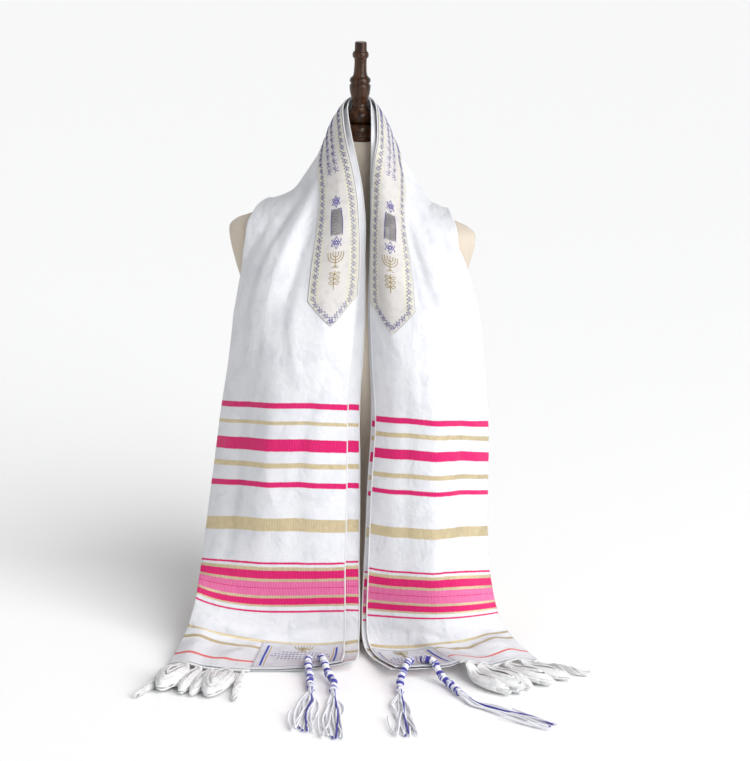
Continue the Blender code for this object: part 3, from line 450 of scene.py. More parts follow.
# Soft folds along the cloth: place and width as shares across, drift of the place per metre of run.
Fold = namedtuple("Fold", "side across drift width depth run_from run_to")
FOLDS = (
    Fold(-1, 0.40, 0.55, 0.13, -0.0100, 0.12, 0.36),
    Fold(-1, 0.16, 0.25, 0.08, 0.0045, 0.16, 0.44),
    Fold(-1, 0.72, 0.20, 0.08, 0.0050, 0.16, 0.46),
    Fold(-1, 0.33, 0.10, 0.07, -0.0035, 0.38, 0.78),
    Fold(-1, 0.56, 0.12, 0.08, 0.0045, 0.36, 0.80),
    Fold(-1, 0.80, 0.05, 0.07, -0.0050, 0.34, 0.78),
    Fold(-1, 0.88, -0.10, 0.08, 0.0070, 0.80, 1.02),
    Fold(1, 0.42, 0.50, 0.13, -0.0100, 0.12, 0.36),
    Fold(1, 0.18, 0.20, 0.08, 0.0040, 0.16, 0.44),
    Fold(1, 0.76, 0.10, 0.08, 0.0050, 0.18, 0.48),
    Fold(1, 0.30, 0.12, 0.08, -0.0035, 0.38, 0.80),
    Fold(1, 0.55, 0.10, 0.08, 0.0050, 0.36, 0.82),
    Fold(1, 0.80, 0.05, 0.08, -0.0060, 0.34, 0.80),
    Fold(1, 0.52, 0.30, 0.07, 0.0060, 0.80, 1.04),
    Fold(1, 0.72, 0.20, 0.06, -0.0050, 0.82, 1.04),
    Fold(1, 0.88, 0.10, 0.06, 0.0060, 0.82, 1.04),
    Fold(-1, 0.55, 0.00, 0.10, 0.0060, -0.10, 0.16),
    Fold(1, 0.55, 0.00, 0.10, 0.0060, -0.10, 0.16),
)

RUN_STEP = 0.005
ACROSS_STEP = 1 / 40
ACROSS_START = -0.125
SMOOTHING_PASSES = 14
FORM_CLEARANCE = 0.0014
SHOULDER_EXTRA = 0.0034
SHOULDER_RUN = 0.32
SHOULDER_FADE = 0.08
NECK_RUN = 0.24
NECK_FADE = 0.05
NAPE_RUN = 0.22
NAPE_FADE = 0.06
NAPE_PASSES = 26
FLOOR_CLEARANCE = 0.0034
CLOTH_HALF = 0.0004
FINE_RUN = 0.005
OUTER_COLUMNS = 52
INNER_COLUMNS = 42
TURN_COLUMNS = 5


def unit(vectors):
    return vectors / np.maximum(np.linalg.norm(vectors, axis=-1, keepdims=True), 1e-12)


def bump(distance):
    return np.exp(-(distance**2))


def step_between(value, low, high):
    t = np.clip((value - low) / (high - low), 0, 1)
    return t * t * (3 - 2 * t)


def form_reach(points):
    """How far points lie from the form's middle line, as a share of its surface's distance."""
    turned_rings = [(z, r, r, 0, 2) for z, r in [*CAP_PROFILE[1:], *FINIAL_PROFILE[:12]]]
    table = np.concatenate([torso_table, turned_rings])
    x, y, z = points[..., 0], points[..., 1], points[..., 2]
    half_width, half_depth, shift, square = (np.interp(z, table[:, 0], table[:, k]) for k in (1, 2, 3, 4))
    return ((abs(x - shift) / half_width) ** square + (abs(y) / half_depth) ** square) ** (1 / square)


def raised_off_form(points, margin):
    """Points moved straight out of the form's surface until they are this far from it."""
    out, nudge = points.copy(), 0.0015
    for _ in range(4):
        reach = form_reach(out)
        rises = [form_reach(out + nudge * way) - form_reach(out - nudge * way) for way in np.eye(3)]
        slope = np.stack(rises, axis=-1) / (2 * nudge)
        steep = np.maximum(np.linalg.norm(slope, axis=-1), 1e-6)
        short = np.maximum(margin - (reach - 1) / steep, 0)
        out = out + slope / steep[..., None] * np.minimum(short, 0.02)[..., None]
    return out


shawl_runs = LEFT_END + RUN_STEP * np.arange(round((RIGHT_END - LEFT_END) / RUN_STEP) + 1)
shawl_shares = np.arange(ACROSS_START, 1 + ACROSS_STEP / 2, ACROSS_STEP)


def fold_depths():
    run, across = np.meshgrid(shawl_runs, shawl_shares, indexing="ij")
    total = np.zeros_like(run)
    for fold in FOLDS:
        way = run * fold.side
        middle, half = (fold.run_from + fold.run_to) / 2, (fold.run_to - fold.run_from) / 2
        centre = fold.across + fold.drift * (way - middle)
        fade = step_between(half - abs(way - middle), 0, half * 0.7)
        total += fold.depth * bump((across - centre) / fold.width) * fade
    return total * step_between(across, -0.02, 0.12)


def evened(grid, weight):
    """Moves a grid's inner points towards the middle of their neighbours."""
    mean = (grid[:-2, 1:-1] + grid[2:, 1:-1] + grid[1:-1, :-2] + grid[1:-1, 2:]) / 4
    grid[1:-1, 1:-1] += weight * (mean - grid[1:-1, 1:-1])


def drape_shawl():
    """The surface midway between the two layers, as a grid by run and by share across."""
    sections = [s._replace(run=-s.run) for s in reversed(LEFT_SECTIONS)] + [BACK_SECTION, *RIGHT_SECTIONS]
    table = np.array([[s.edge, s.near, s.far, s.fold] for s in sections]) / 1000
    control = smooth_through(np.array([s.run for s in sections]) / 1000, table, shawl_runs)
    w = shawl_shares
    weights = np.array([
        -4.5 * (w - 1 / 3) * (w - 2 / 3) * (w - 1),
        13.5 * w * (w - 2 / 3) * (w - 1),
        -13.5 * w * (w - 1 / 3) * (w - 1),
        4.5 * w * (w - 1 / 3) * (w - 2 / 3),
    ])
    grid = np.einsum("kw,rkc->rwc", weights, control)
    edge = int(np.argmin(abs(w)))
    heading = unit(grid[:, edge + 1] - grid[:, edge])
    for k in range(edge):
        grid[:, k] = grid[:, edge] + heading * w[k] * FOLDED_WIDTH
    normals = unit(np.cross(np.gradient(grid, axis=0), np.gradient(grid, axis=1)))
    grid = grid + normals * fold_depths()[..., None]
    extra = SHOULDER_EXTRA * step_between(SHOULDER_RUN - abs(shawl_runs), 0, SHOULDER_FADE)
    margin = BODY_HALF_GAP + WALL / 2 + FORM_CLEARANCE + extra[:, None]
    grid = raised_off_form(grid, margin)
    weight = step_between(NECK_RUN - abs(shawl_runs), 0, NECK_FADE)[1:-1, None, None] * 0.5
    for _ in range(SMOOTHING_PASSES):
        evened(grid, weight)
        grid = raised_off_form(grid, margin)
    weight = step_between(NAPE_RUN - abs(shawl_runs), 0, NAPE_FADE)[1:-1, None, None] * 0.5
    for _ in range(NAPE_PASSES):
        evened(grid, weight)
    grid[..., 2] = np.maximum(grid[..., 2], FLOOR_CLEARANCE)
    return grid


def bordered(values):
    """A grid with one more row and column all round, carried straight on."""
    for axis in (0, 1):
        values = np.swapaxes(values, 0, axis)
        values = np.concatenate([2 * values[:1] - values[1:2], values, 2 * values[-1:] - values[-2:-1]])
        values = np.swapaxes(values, 0, axis)
    return values


middle_grid = drape_shawl()
middle_points = bordered(middle_grid)
middle_normals = bordered(unit(np.cross(np.gradient(middle_grid, axis=0), np.gradient(middle_grid, axis=1))))


def cubic_weights(t):
    return (
        -0.5 * t + t**2 - 0.5 * t**3,
        1 - 2.5 * t**2 + 1.5 * t**3,
        0.5 * t + 2 * t**2 - 1.5 * t**3,
        -0.5 * t**2 + 0.5 * t**3,
    )


def read_grid(values, run, across):
    r = np.clip((run - shawl_runs[0]) / RUN_STEP, 0, len(shawl_runs) - 1.000001)
    a = np.clip((across - shawl_shares[0]) / ACROSS_STEP, 0, len(shawl_shares) - 1.000001)
    i, j = r.astype(int), a.astype(int)
    total = 0
    for di, wi in enumerate(cubic_weights((r - i)[..., None])):
        for dj, wj in enumerate(cubic_weights((a - j)[..., None])):
            total = total + values[i + di, j + dj] * wi * wj
    return total


# Creases: where the middle lies (run away from the neck, share across), how it turns from
# the run in degrees, and its length, width and depth in metres. Troughs are negative.
Crease = namedtuple("Crease", "side run across turn length width depth")
CREASES = (
    Crease(-1, 0.190, 0.60, 34, 0.085, 0.012, -0.0030),
    Crease(-1, 0.215, 0.50, 26, 0.090, 0.011, 0.0026),
    Crease(-1, 0.255, 0.72, 18, 0.080, 0.010, -0.0022),
    Crease(-1, 0.290, 0.46, 10, 0.110, 0.010, -0.0018),
    Crease(-1, 0.330, 0.62, 6, 0.100, 0.011, 0.0022),
    Crease(-1, 0.340, 0.84, 8, 0.090, 0.010, -0.0020),
    Crease(-1, 0.410, 0.40, -6, 0.070, 0.010, 0.0016),
    Crease(-1, 0.425, 0.70, 12, 0.060, 0.009, -0.0016),
    Crease(-1, 0.470, 0.22, 20, 0.050, 0.009, -0.0013),
    Crease(-1, 0.640, 0.50, -16, 0.060, 0.010, 0.0013),
    Crease(-1, 0.640, 0.78, 10, 0.070, 0.010, -0.0016),
    Crease(-1, 0.835, 0.30, 78, 0.070, 0.008, -0.0016),
    Crease(-1, 0.840, 0.66, 96, 0.060, 0.008, 0.0014),
    Crease(-1, 0.905, 0.62, 30, 0.045, 0.009, 0.0018),
    Crease(1, 0.185, 0.58, 32, 0.080, 0.012, -0.0028),
    Crease(1, 0.215, 0.70, 24, 0.090, 0.011, 0.0026),
    Crease(1, 0.260, 0.52, 14, 0.090, 0.010, -0.0020),
    Crease(1, 0.300, 0.80, 8, 0.100, 0.011, -0.0022),
    Crease(1, 0.360, 0.66, 2, 0.090, 0.011, 0.0020),
    Crease(1, 0.430, 0.44, -8, 0.080, 0.010, -0.0014),
    Crease(1, 0.450, 0.84, 10, 0.070, 0.010, 0.0018),
    Crease(1, 0.560, 0.70, -10, 0.080, 0.010, 0.0014),
    Crease(1, 0.650, 0.88, 4, 0.070, 0.009, -0.0018),
    Crease(1, 0.700, 0.62, 14, 0.060, 0.009, -0.0014),
    Crease(1, 0.850, 0.62, 58, 0.060, 0.008, -0.0022),
    Crease(1, 0.872, 0.74, 50, 0.060, 0.008, 0.0020),
    Crease(1, 0.905, 0.70, 42, 0.050, 0.008, -0.0018),
    Crease(1, 0.830, 0.30, 84, 0.070, 0.008, -0.0014),
    Crease(-1, 0.060, 0.62, 80, 0.060, 0.012, -0.0020),
    Crease(1, 0.040, 0.80, 84, 0.070, 0.012, 0.0022),
    Crease(-1, 0.110, 0.80, 60, 0.060, 0.011, 0.0020),
    Crease(1, 0.120, 0.46, 66, 0.060, 0.011, -0.0018),
)
CREASE_SHOW = 1.45
CREASE_BOW = 0.9
RIPPLES = 420
RIPPLE_REACH = 0.1
ripple_dice = np.random.default_rng(18)
ripples = np.column_stack([
    ripple_dice.uniform(LEFT_END, RIGHT_END, RIPPLES),
    ripple_dice.uniform(0.0, 1.0, RIPPLES),
    ripple_dice.normal(0.0, 0.8, RIPPLES),
    ripple_dice.uniform(0.012, 0.040, RIPPLES),
    ripple_dice.uniform(0.0045, 0.0085, RIPPLES),
    ripple_dice.choice([-1, 1], RIPPLES) * ripple_dice.uniform(0.00020, 0.00060, RIPPLES),
])


def turned_about(run, across, middle_run, middle_across, turn):
    """Metres along and over a line that lies at an angle in radians on the cloth."""
    du, dv = run - middle_run, (across - middle_across) * FOLDED_WIDTH
    return du * math.cos(turn) + dv * math.sin(turn), dv * math.cos(turn) - du * math.sin(turn)


def crease_height(run, across):
    """Height of the creases and of the satin's small ripples over the smooth drape."""
    total = np.zeros(np.broadcast(run, across).shape)
    for c in CREASES:
        along, over = turned_about(run * c.side, across, c.run, c.across, math.radians(c.turn))
        over = over + CREASE_BOW * along**2
        total += CREASE_SHOW * c.depth * bump(over / c.width) * bump(along / c.length)
    for middle_run, middle_across, turn, length, width, depth in ripples:
        near = abs(run - middle_run) < RIPPLE_REACH
        if near.any():
            along, over = turned_about(run, across, middle_run, middle_across, turn)
            total += np.where(near, depth * bump(over / width) * bump(along / length), 0)
    calm_edge = 0.25 + 0.75 * step_between(across, 0.0, 0.16)
    return total * calm_edge


def half_gap(run):
    on_table = step_between(abs(run), TABLE_RUN - 0.1, TABLE_RUN)
    return BODY_HALF_GAP + (TABLE_HALF_GAP - BODY_HALF_GAP) * on_table


def on_shawl(run, across, lift):
    """Points this far over the outer layer's face, with the face's normals."""
    run, across = np.broadcast_arrays(np.asarray(run, float), np.asarray(across, float))
    normal = unit(read_grid(middle_normals, run, across))
    height = half_gap(run) + crease_height(run, across) + CLOTH_HALF + lift
    return read_grid(middle_points, run, across) + normal * height[..., None], normal


Stripe = namedtuple("Stripe", "start end yarn")
MAGENTA, GILT, PINK, SALMON = "magenta", "gilt", "pink", "salmon"
UPPER_LEFT = (
    Stripe(0.4910, 0.4990, MAGENTA),
    Stripe(0.5180, 0.5235, GILT),
    Stripe(0.5440, 0.5620, MAGENTA),
    Stripe(0.5790, 0.5870, GILT),
    Stripe(0.6085, 0.6170, MAGENTA),
    Stripe(0.6650, 0.6840, GILT),
)
UPPER_RIGHT = (
    Stripe(0.5040, 0.5120, MAGENTA),
    Stripe(0.5260, 0.5325, GILT),
    Stripe(0.5500, 0.5650, MAGENTA),
    Stripe(0.5850, 0.5920, GILT),
    Stripe(0.6095, 0.6165, MAGENTA),
    Stripe(0.6640, 0.6800, GILT),
)
LOWER = (
    Stripe(0.7310, 0.7337, MAGENTA),
    Stripe(0.7385, 0.7430, GILT),
    Stripe(0.7430, 0.7550, MAGENTA),
    Stripe(0.7550, 0.7590, GILT),
    Stripe(0.7590, 0.7682, PINK),
    Stripe(0.7682, 0.7698, MAGENTA),
    Stripe(0.7698, 0.7808, PINK),
    Stripe(0.7808, 0.7850, GILT),
    Stripe(0.7850, 0.7950, MAGENTA),
    Stripe(0.7950, 0.7985, GILT),
    Stripe(0.8045, 0.8073, MAGENTA),
    Stripe(0.8525, 0.8590, GILT),
    Stripe(0.8755, 0.8825, GILT),
    Stripe(0.9270, 0.9320, SALMON),
)
YARNS = {
    MAGENTA: (0.66, 0.004, 0.135, 1),
    GILT: (0.56, 0.455, 0.26, 1),
    PINK: (0.74, 0.17, 0.37, 1),
    SALMON: (0.74, 0.20, 0.16, 1),
}
SATIN_WHITE = (0.665, 0.67, 0.695, 1)
# The next three colours darken the satin, the magenta ribs and the gilt: painted shade in crumples, and on the
# ribs partly their own darker lines and partly painted shade. The fourth is painted glints on the gilt.
SATIN_SHADE = (0.53, 0.545, 0.59, 1)
MAGENTA_SHADE = (0.36, 0.0, 0.08, 1)
GILT_SHADE = (0.33, 0.25, 0.13, 1)
GILT_PAINTED_GLINT = (0.90, 0.84, 0.66, 1)
RIB_PITCH = 0.0026
LOWER_FROM = 0.70
RIBBED_MASK = (1, 0, 0, 1)
YARN_MASKS = {None: (0, 0, 0, 1), GILT: (0, 1, 0, 1)}
YARN_MASKS.update({MAGENTA: RIBBED_MASK, PINK: RIBBED_MASK, SALMON: RIBBED_MASK})


def stripe_ramp(start, place, stripes, low, high, colours):
    """Steps of colour along one stretch of the cloth, read from its table of stripes."""
    stops = [(0.0, colours[None])]
    for stripe, after in zip(stripes, [*stripes[1:], None]):
        stops.append(((stripe.start - low) / (high - low), colours[stripe.yarn]))
        if after is None or after.start > stripe.end:
            stops.append(((stripe.end - low) / (high - low), colours[None]))
    stepped = {"stops": stops, "stepped": True}
    return start.node("ShaderNodeValToRGB", stepped, {0: (place - low) / (high - low)})


def shawl_finish():
    made, cut = new_finish("shawl_satin", "cut")
    along, over = cut.pair()
    rib = (over * (math.tau / RIB_PITCH) + cut.noise(55) * 9).sine() * 0.5 + 0.5
    place = abs(along) + (cut.noise(620) - 0.5) * 0.0022 + (rib - 0.5) * 0.0007
    lower_place = place + (along < 0) * 0.003
    parts = []
    for colours in ({None: SATIN_WHITE, **YARNS}, YARN_MASKS):
        left = stripe_ramp(cut, place, UPPER_LEFT, 0.48, LOWER_FROM, colours)
        right = stripe_ramp(cut, place, UPPER_RIGHT, 0.48, LOWER_FROM, colours)
        lower = stripe_ramp(cut, lower_place, LOWER, LOWER_FROM, 0.96, colours)
        parts.append((place > LOWER_FROM).between((along > 0).between(left, right), lower))
    cloth, masks = parts
    ribbed, gilt = (cut.node("ShaderNodeSeparateColor", {}, {0: masks}, k) for k in (0, 1))
    crush_relief_and_shade, mottled = cut.noise(30, Roughness=0.5, Distortion=0.4), cut.noise(120, 3, Roughness=0.6)
    # The crumples give the satin its relief, and the same mask paints shade into its colour.
    crumple_relief_and_shade = crush_relief_and_shade.rising(0.40, 0.72) * 0.75 + mottled.rising(0.40, 0.75) * 0.25
    plain = 1 - ribbed - gilt
    glint_noise = cut.noise(1500)
    # Painted shade: the plain satin is darkened where it crumples.
    shaded = (crumple_relief_and_shade * plain * 0.55).between(cloth, SATIN_SHADE)
    # The ribs and the gilt are drawn darker: partly their own darker lines, partly painted shade that is deepest
    # where the mottling lies.
    dark_ribs = (rib * ribbed * (mottled * 0.6 + 0.15)).between(shaded, MAGENTA_SHADE)
    gilt_ribs_and_shade = (gilt * (rib * 0.30 + mottled.rising(0.35, 0.65) * 0.30)).between(dark_ribs, GILT_SHADE)
    # Painted glints: small spots on the gilt are painted bright.
    painted_glints = (gilt * glint_noise.rising(0.50, 0.66) * 0.75).between(gilt_ribs_and_shade, GILT_PAINTED_GLINT)
    threads = (along * (math.tau / 0.0009)).sine() * 0.5 + (over * (math.tau / 0.0007)).sine() * 0.5
    height = rib * ribbed * 0.9 + threads * 0.16 * plain + crumple_relief_and_shade * plain * 2.2 + (glint_noise + rib) * gilt * 0.5
    roughness = 0.50 - plain * 0.06 - gilt * 0.14 + crumple_relief_and_shade * 0.10
    return dressed(made, painted_glints, roughness, (height, 0.0006, 0.9), {"Specular IOR Level": 0.35}, gilt * 0.55)


def lip_share(run):
    left, right = np.interp(-run, *LEFT_LIP.T), np.interp(run, *RIGHT_LIP.T)
    return np.where(run < 0, left, right) / FOLDED_WIDTH


def shawl_rows(rows):
    """Points, normals and flat map of the whole cloth: outer layer, fold and inner layer."""
    outer = np.linspace(0, 1, OUTER_COLUMNS)
    run, across = np.broadcast_arrays(rows[:, None], outer[None, :])
    outside, out_normal = on_shawl(run, across, -CLOTH_HALF)
    reach = (1 + lip_share(rows))[:, None]
    inner = 1 - np.linspace(0, 1, INNER_COLUMNS)[None, :] * reach
    run, across = np.broadcast_arrays(rows[:, None], inner)
    in_normal = unit(read_grid(middle_normals, run, across))
    wave = np.clip(crease_height(run, across), None, 0.0012) * 0.7
    inside = read_grid(middle_points, run, across) - in_normal * (half_gap(run) - wave)[..., None]
    fold_normal, fold_end = out_normal[:, -1], read_grid(middle_points, rows, np.ones_like(rows))
    over = unit(fold_end - read_grid(middle_points, rows, np.full_like(rows, 0.985)))
    turns = np.radians(np.linspace(90, -90, TURN_COLUMNS + 2)[1:-1])
    gap = half_gap(rows)[:, None]
    rise = np.clip(crease_height(rows, np.ones_like(rows)), -0.001, 0.001)[:, None]
    round_it = [
        fold_end + gap * (fold_normal * math.sin(t) + over * math.cos(t)) + fold_normal * rise
        for t in turns
    ]
    round_normal = [unit(fold_normal * math.sin(t) + over * math.cos(t)) for t in turns]
    points = np.concatenate([outside, np.stack(round_it, axis=1), inside], axis=1)
    normals = np.concatenate([out_normal, np.stack(round_normal, axis=1), -in_normal], axis=1)
    shares = np.concatenate([
        np.broadcast_to(outer, (len(rows), OUTER_COLUMNS)) * FOLDED_WIDTH,
        np.broadcast_to(FOLDED_WIDTH + (np.arange(TURN_COLUMNS) + 0.5) * 0.001, (len(rows), TURN_COLUMNS)),
        FOLDED_WIDTH * (2 - inner) + 0.005,
    ], axis=1)
    places = np.broadcast_to(rows[:, None], shares.shape).copy()
    places[:, OUTER_COLUMNS:] -= 0.009 * step_between(rows, 0.3, 0.45)[:, None]
    return points, normals, np.stack([places, shares], axis=-1)


def walled(name, middle, normals, maps, half, finish, map_name):
    """A closed thin wall each side of a grid of points, with its map on both faces."""
    rows, columns = middle.shape[:2]
    size = rows * columns
    both_layers = (middle + normals * half, middle - normals * half)
    points = np.concatenate([layer.reshape(-1, 3) for layer in both_layers])
    faces = grid_faces(rows, columns)
    rim = [(0, c) for c in range(columns)] + [(r, columns - 1) for r in range(1, rows)]
    rim += [(rows - 1, c) for c in range(columns - 2, -1, -1)] + [(r, 0) for r in range(rows - 2, 0, -1)]
    edge = np.array([r * columns + c for r, c in rim])
    after = np.roll(edge, -1)
    sides = np.stack([edge, after, after + size, edge + size], axis=-1)
    flat = maps.reshape(-1, 2)
    return add_piece(name, points, np.concatenate([faces, faces[:, ::-1] + size, sides]), finish,
                     np.concatenate([flat, flat]), map_name, sharp=60)


fine_rows = LEFT_END + FINE_RUN * np.arange(round((RIGHT_END - LEFT_END) / FINE_RUN) + 1)
shawl_middle, shawl_normals, shawl_maps = shawl_rows(fine_rows)
shawl = walled("shawl_cloth", shawl_middle, shawl_normals, shawl_maps, CLOTH_HALF, shawl_finish(), "cut")
settle(shawl, "tallit_cloth")

# The neckband: a long strip of cream satin with pointed ends, sewn flat along the outer layer's
# open edge. Its borders are a paler yellow. It is widened on the right half.
BAND_NEAR = 0.006
BAND_FAR = 0.315
BAND_ENDS = (-0.372, 0.380)
BAND_POINT = 0.040
BAND_HALF = 0.00045
BAND_LIFT = 0.0002
BAND_TOP = BAND_LIFT + 2 * BAND_HALF
BAND_WIDTH = (BAND_FAR - BAND_NEAR) * FOLDED_WIDTH
TWILL_PITCH = 0.0011
BAND_EASE = 0.30
BAND_CREAM = (0.57, 0.545, 0.525, 1)
BAND_YELLOW = (0.59, 0.57, 0.47, 1)
BAND_SHADE = (0.44, 0.42, 0.42, 1)


def band_finish():
    """Cream satin with a fine diagonal weave, paler borders along its long sides and painted shade where it
    crushes.
    """
    made, cut = new_finish("neckband_satin", "cut")
    along, over = cut.pair()
    from_side = BAND_WIDTH / 2 - abs(over - BAND_WIDTH / 2)
    border = from_side.rising(0.0010, 0.0025) * (1 - from_side.rising(0.0175, 0.0190))
    crush_relief_and_shade, mottled = cut.noise(75, 4, Distortion=0.6), cut.noise(420)
    twill = ((along + over) * (math.tau / TWILL_PITCH)).sine()
    ground = border.between(BAND_CREAM, BAND_YELLOW)
    # Painted shade: the satin is darkened where it crushes and where the mottling lies.
    colour = (crush_relief_and_shade.rising(0.45, 0.75) * 0.5 + mottled * 0.15).between(ground, BAND_SHADE)
    relief = (twill * 0.3 + crush_relief_and_shade * 2.0 + mottled * 0.6, 0.00028, 0.8)
    return dressed(made, colour, 0.42 + mottled * 0.2, relief, {"Sheen Weight": 0.1})


def on_band(run, share):
    """The share across, with the band widened on the right half, where the drape draws it in."""
    ease = 1 + BAND_EASE * step_between(run, 0.06, 0.17)
    return BAND_NEAR + (share - BAND_NEAR) * ease


def make_band():
    start, end = BAND_ENDS
    tips = BAND_POINT * np.linspace(0, 1, 12)
    rows = np.unique(np.concatenate([np.linspace(start, end, 152), start + tips, end - tips]))
    middle = (BAND_NEAR + BAND_FAR) / 2
    narrow = np.clip(np.minimum(rows - start, end - rows) / BAND_POINT, 0.02, 1)
    shares = middle + np.linspace(-0.5, 0.5, 24)[None, :] * (BAND_FAR - BAND_NEAR) * narrow[:, None]
    points, normals = on_shawl(rows[:, None], on_band(rows[:, None], shares), BAND_LIFT + BAND_HALF)
    maps = np.stack([np.broadcast_to(rows[:, None], shares.shape), (shares - BAND_NEAR) * FOLDED_WIDTH], axis=-1)
    band = walled("neckband", points, normals, maps, BAND_HALF, band_finish(), "cut")
    return settle(band, "atarah")


neckband = make_band()

# The corner patches: off-white satin squares sewn over the corners where the tassels go through.
# Each has a blue band and a gilt line by both short sides, woven in.
PATCH_FAR = 0.49
PATCH_LENGTH = 0.096
PATCH_INSET = 0.003
PATCH_WIDTH = (PATCH_FAR - BAND_NEAR) * FOLDED_WIDTH
PATCH_WHITE = (0.58, 0.585, 0.63, 1)
PATCH_BLUE = (0.012, 0.045, 0.36, 1)
PATCH_GILT = (0.42, 0.30, 0.13, 1)


def patch_finish():
    made, cut = new_finish("patch_satin", "cut")
    along, over = cut.pair()
    from_side = PATCH_WIDTH / 2 - abs(over - PATCH_WIDTH / 2)
    inside = along.rising(0.008, 0.009) * (1 - along.rising(0.085, 0.086))
    blue = (from_side > 0.0088) * (from_side < 0.0120) * inside
    gilt = (from_side > 0.0140) * (from_side < 0.0156) * inside
    mottled, crush_relief_and_shade = cut.noise(300, 3), cut.noise(60, 3, Distortion=0.5)
    # Painted shade: the satin is darkened where it crushes.
    ground = (crush_relief_and_shade.rising(0.4, 0.7) * 0.4).between(PATCH_WHITE, BAND_SHADE)
    colour = gilt.between(blue.between(ground, PATCH_BLUE), PATCH_GILT)
    twill = ((along - over) * (math.tau / TWILL_PITCH)).sine()
    relief = (twill * 0.3 + mottled * 0.8 + crush_relief_and_shade * 1.5, 0.00028, 0.7)
    return dressed(made, colour, 0.45 + mottled * 0.2, relief)


def patch_run(side, distance):
    """The run at this distance from the hem of one half."""
    return side * ((RIGHT_END if side > 0 else -LEFT_END) - distance)


def make_patch(name, node, side, finish):
    distance = np.linspace(PATCH_INSET, PATCH_LENGTH, 32)[::-side]
    shares = np.linspace(BAND_NEAR, PATCH_FAR, 36)[None, :]
    points, normals = on_shawl(patch_run(side, distance)[:, None], shares, BAND_LIFT + BAND_HALF)
    over = np.broadcast_to((shares - BAND_NEAR) * FOLDED_WIDTH, (32, 36))
    maps = np.stack([np.broadcast_to(distance[:, None], over.shape), over], axis=-1)
    return settle(walled(name, points, normals, maps, BAND_HALF, finish, "cut"), node)


woven_patch = patch_finish()
patches = [
    make_patch("patch_left", "corner_patch_left", -1, woven_patch),
    make_patch("patch_right", "corner_patch_right", 1, woven_patch),
]

# Sewing and embroidery: polyester thread laid on the satin. Rows of small stitches are set along
# lines on the cloth, and drawn motifs are rounds of thread that stand a little over the band.
THREAD_WHITE = (0.86, 0.86, 0.87, 1)
THREAD_BLUE = (0.065, 0.058, 0.30, 1)
THREAD_GOLD = (0.34, 0.25, 0.055, 1)
THREAD_GREY = (0.125, 0.11, 0.12, 1)
THREAD_DEEP_BLUE = (0.03, 0.03, 0.26, 1)


def thread_finish(name, colour, roughness=0.45):
    made, spot = new_finish(name)
    fluff = spot.noise(1800)
    darker = tuple(part * 0.62 for part in colour[:3]) + (1,)
    relief = (fluff, 0.00015, 0.6)
    return dressed(made, fluff.between(darker, colour), fluff * 0.2 + roughness, relief, {"Sheen Weight": 0.2})


def line_mesh(name, lines, lifts=None, **measures):
    """An edge mesh holding each line of points, with what the Geometry Nodes read from it."""
    counts = [len(line) for line in lines]
    starts = np.concatenate([[0], np.cumsum(counts)])
    edges = [(s + k, s + k + 1) for s, n in zip(starts, counts) for k in range(n - 1)]
    mesh = bpy.data.meshes.new(name)
    mesh.from_pydata(np.concatenate(lines).tolist(), edges, [])
    if lifts is not None:
        held = mesh.attributes.new("lift", "FLOAT_VECTOR", "POINT")
        held.data.foreach_set("vector", np.concatenate(lifts).ravel())
    for key, values in measures.items():
        mesh.attributes.new(key, "FLOAT", "POINT").data.foreach_set("value", np.concatenate(values))
    made = bpy.data.objects.new(name, mesh)
    bpy.context.scene.collection.objects.link(made)
    return made


def new_tree(name, **sockets):
    tree = bpy.data.node_groups.new(name, "GeometryNodeTree")
    for way in ("INPUT", "OUTPUT"):
        tree.interface.new_socket("Geometry", in_out=way, socket_type="NodeSocketGeometry")
    for title, kind in sockets.items():
        tree.interface.new_socket(title, in_out="INPUT", socket_type="NodeSocket" + kind)
    return tree, tree.nodes.new("NodeGroupInput").outputs, tree.nodes.new("NodeGroupOutput").inputs


def joined(tree, kind, links, output=0, **settings):
    """Adds a node fed by sockets and values, and gives one of its outputs."""
    made = tree.nodes.new(kind)
    for name, value in settings.items():
        setattr(made, name, value)
    for key, value in links.items():
        if isinstance(value, bpy.types.NodeSocket):
            tree.links.new(value, made.inputs[key])
        else:
            made.inputs[key].default_value = value
    return made.outputs[output]


def stitch_row_tree():
    """Sets a motif along lines at an even pitch, lying in the cloth's face and leaning to and fro."""
    tree, given, result = new_tree("stitch_row", Motif="Object", Pitch="Float", Lean="Float", Uneven="Float",
                                   Seed="Int", Finish="Material")
    add = partial(joined, tree)
    curve = add("GeometryNodeMeshToCurve", {"Mesh": given["Geometry"]})
    even = add("GeometryNodeResampleCurve", {0: curve, "Length": given["Pitch"]}, mode="LENGTH")
    lift = add("GeometryNodeInputNamedAttribute", {"Name": "lift"}, data_type="FLOAT_VECTOR")
    heading = add("GeometryNodeInputTangent", {})
    facing = add("FunctionNodeAxesToRotation", {0: lift, 1: heading}, primary_axis="Z", secondary_axis="X")
    odd = add("ShaderNodeMath", {0: add("GeometryNodeInputIndex", {}), 1: 2.0}, operation="MODULO")
    way = add("ShaderNodeMath", {0: odd, 1: 2.0, 2: -1.0}, operation="MULTIPLY_ADD")
    lean = add("ShaderNodeMath", {0: way, 1: given["Lean"]}, operation="MULTIPLY")
    low = add("ShaderNodeMath", {0: 0.0, 1: given["Uneven"]}, operation="SUBTRACT")
    limits = {2: low, 3: given["Uneven"], "Seed": given["Seed"]}
    stray = add("FunctionNodeRandomValue", limits, 1, data_type="FLOAT")
    turned_by = add("ShaderNodeMath", {0: lean, 1: stray}, operation="ADD")
    twist = add("FunctionNodeEulerToRotation", {0: add("ShaderNodeCombineXYZ", {2: turned_by})})
    both = add("FunctionNodeRotateRotation", {0: facing, 1: twist}, rotation_space="LOCAL")
    motif = add("GeometryNodeObjectInfo", {"Object": given["Motif"]}, "Geometry")
    placed = add("GeometryNodeInstanceOnPoints", {"Points": even, "Instance": motif, "Rotation": both})
    real = add("GeometryNodeRealizeInstances", {0: placed})
    done = add("GeometryNodeSetMaterial", {"Geometry": real, "Material": given["Finish"]})
    tree.links.new(done, result[0])
    return tree


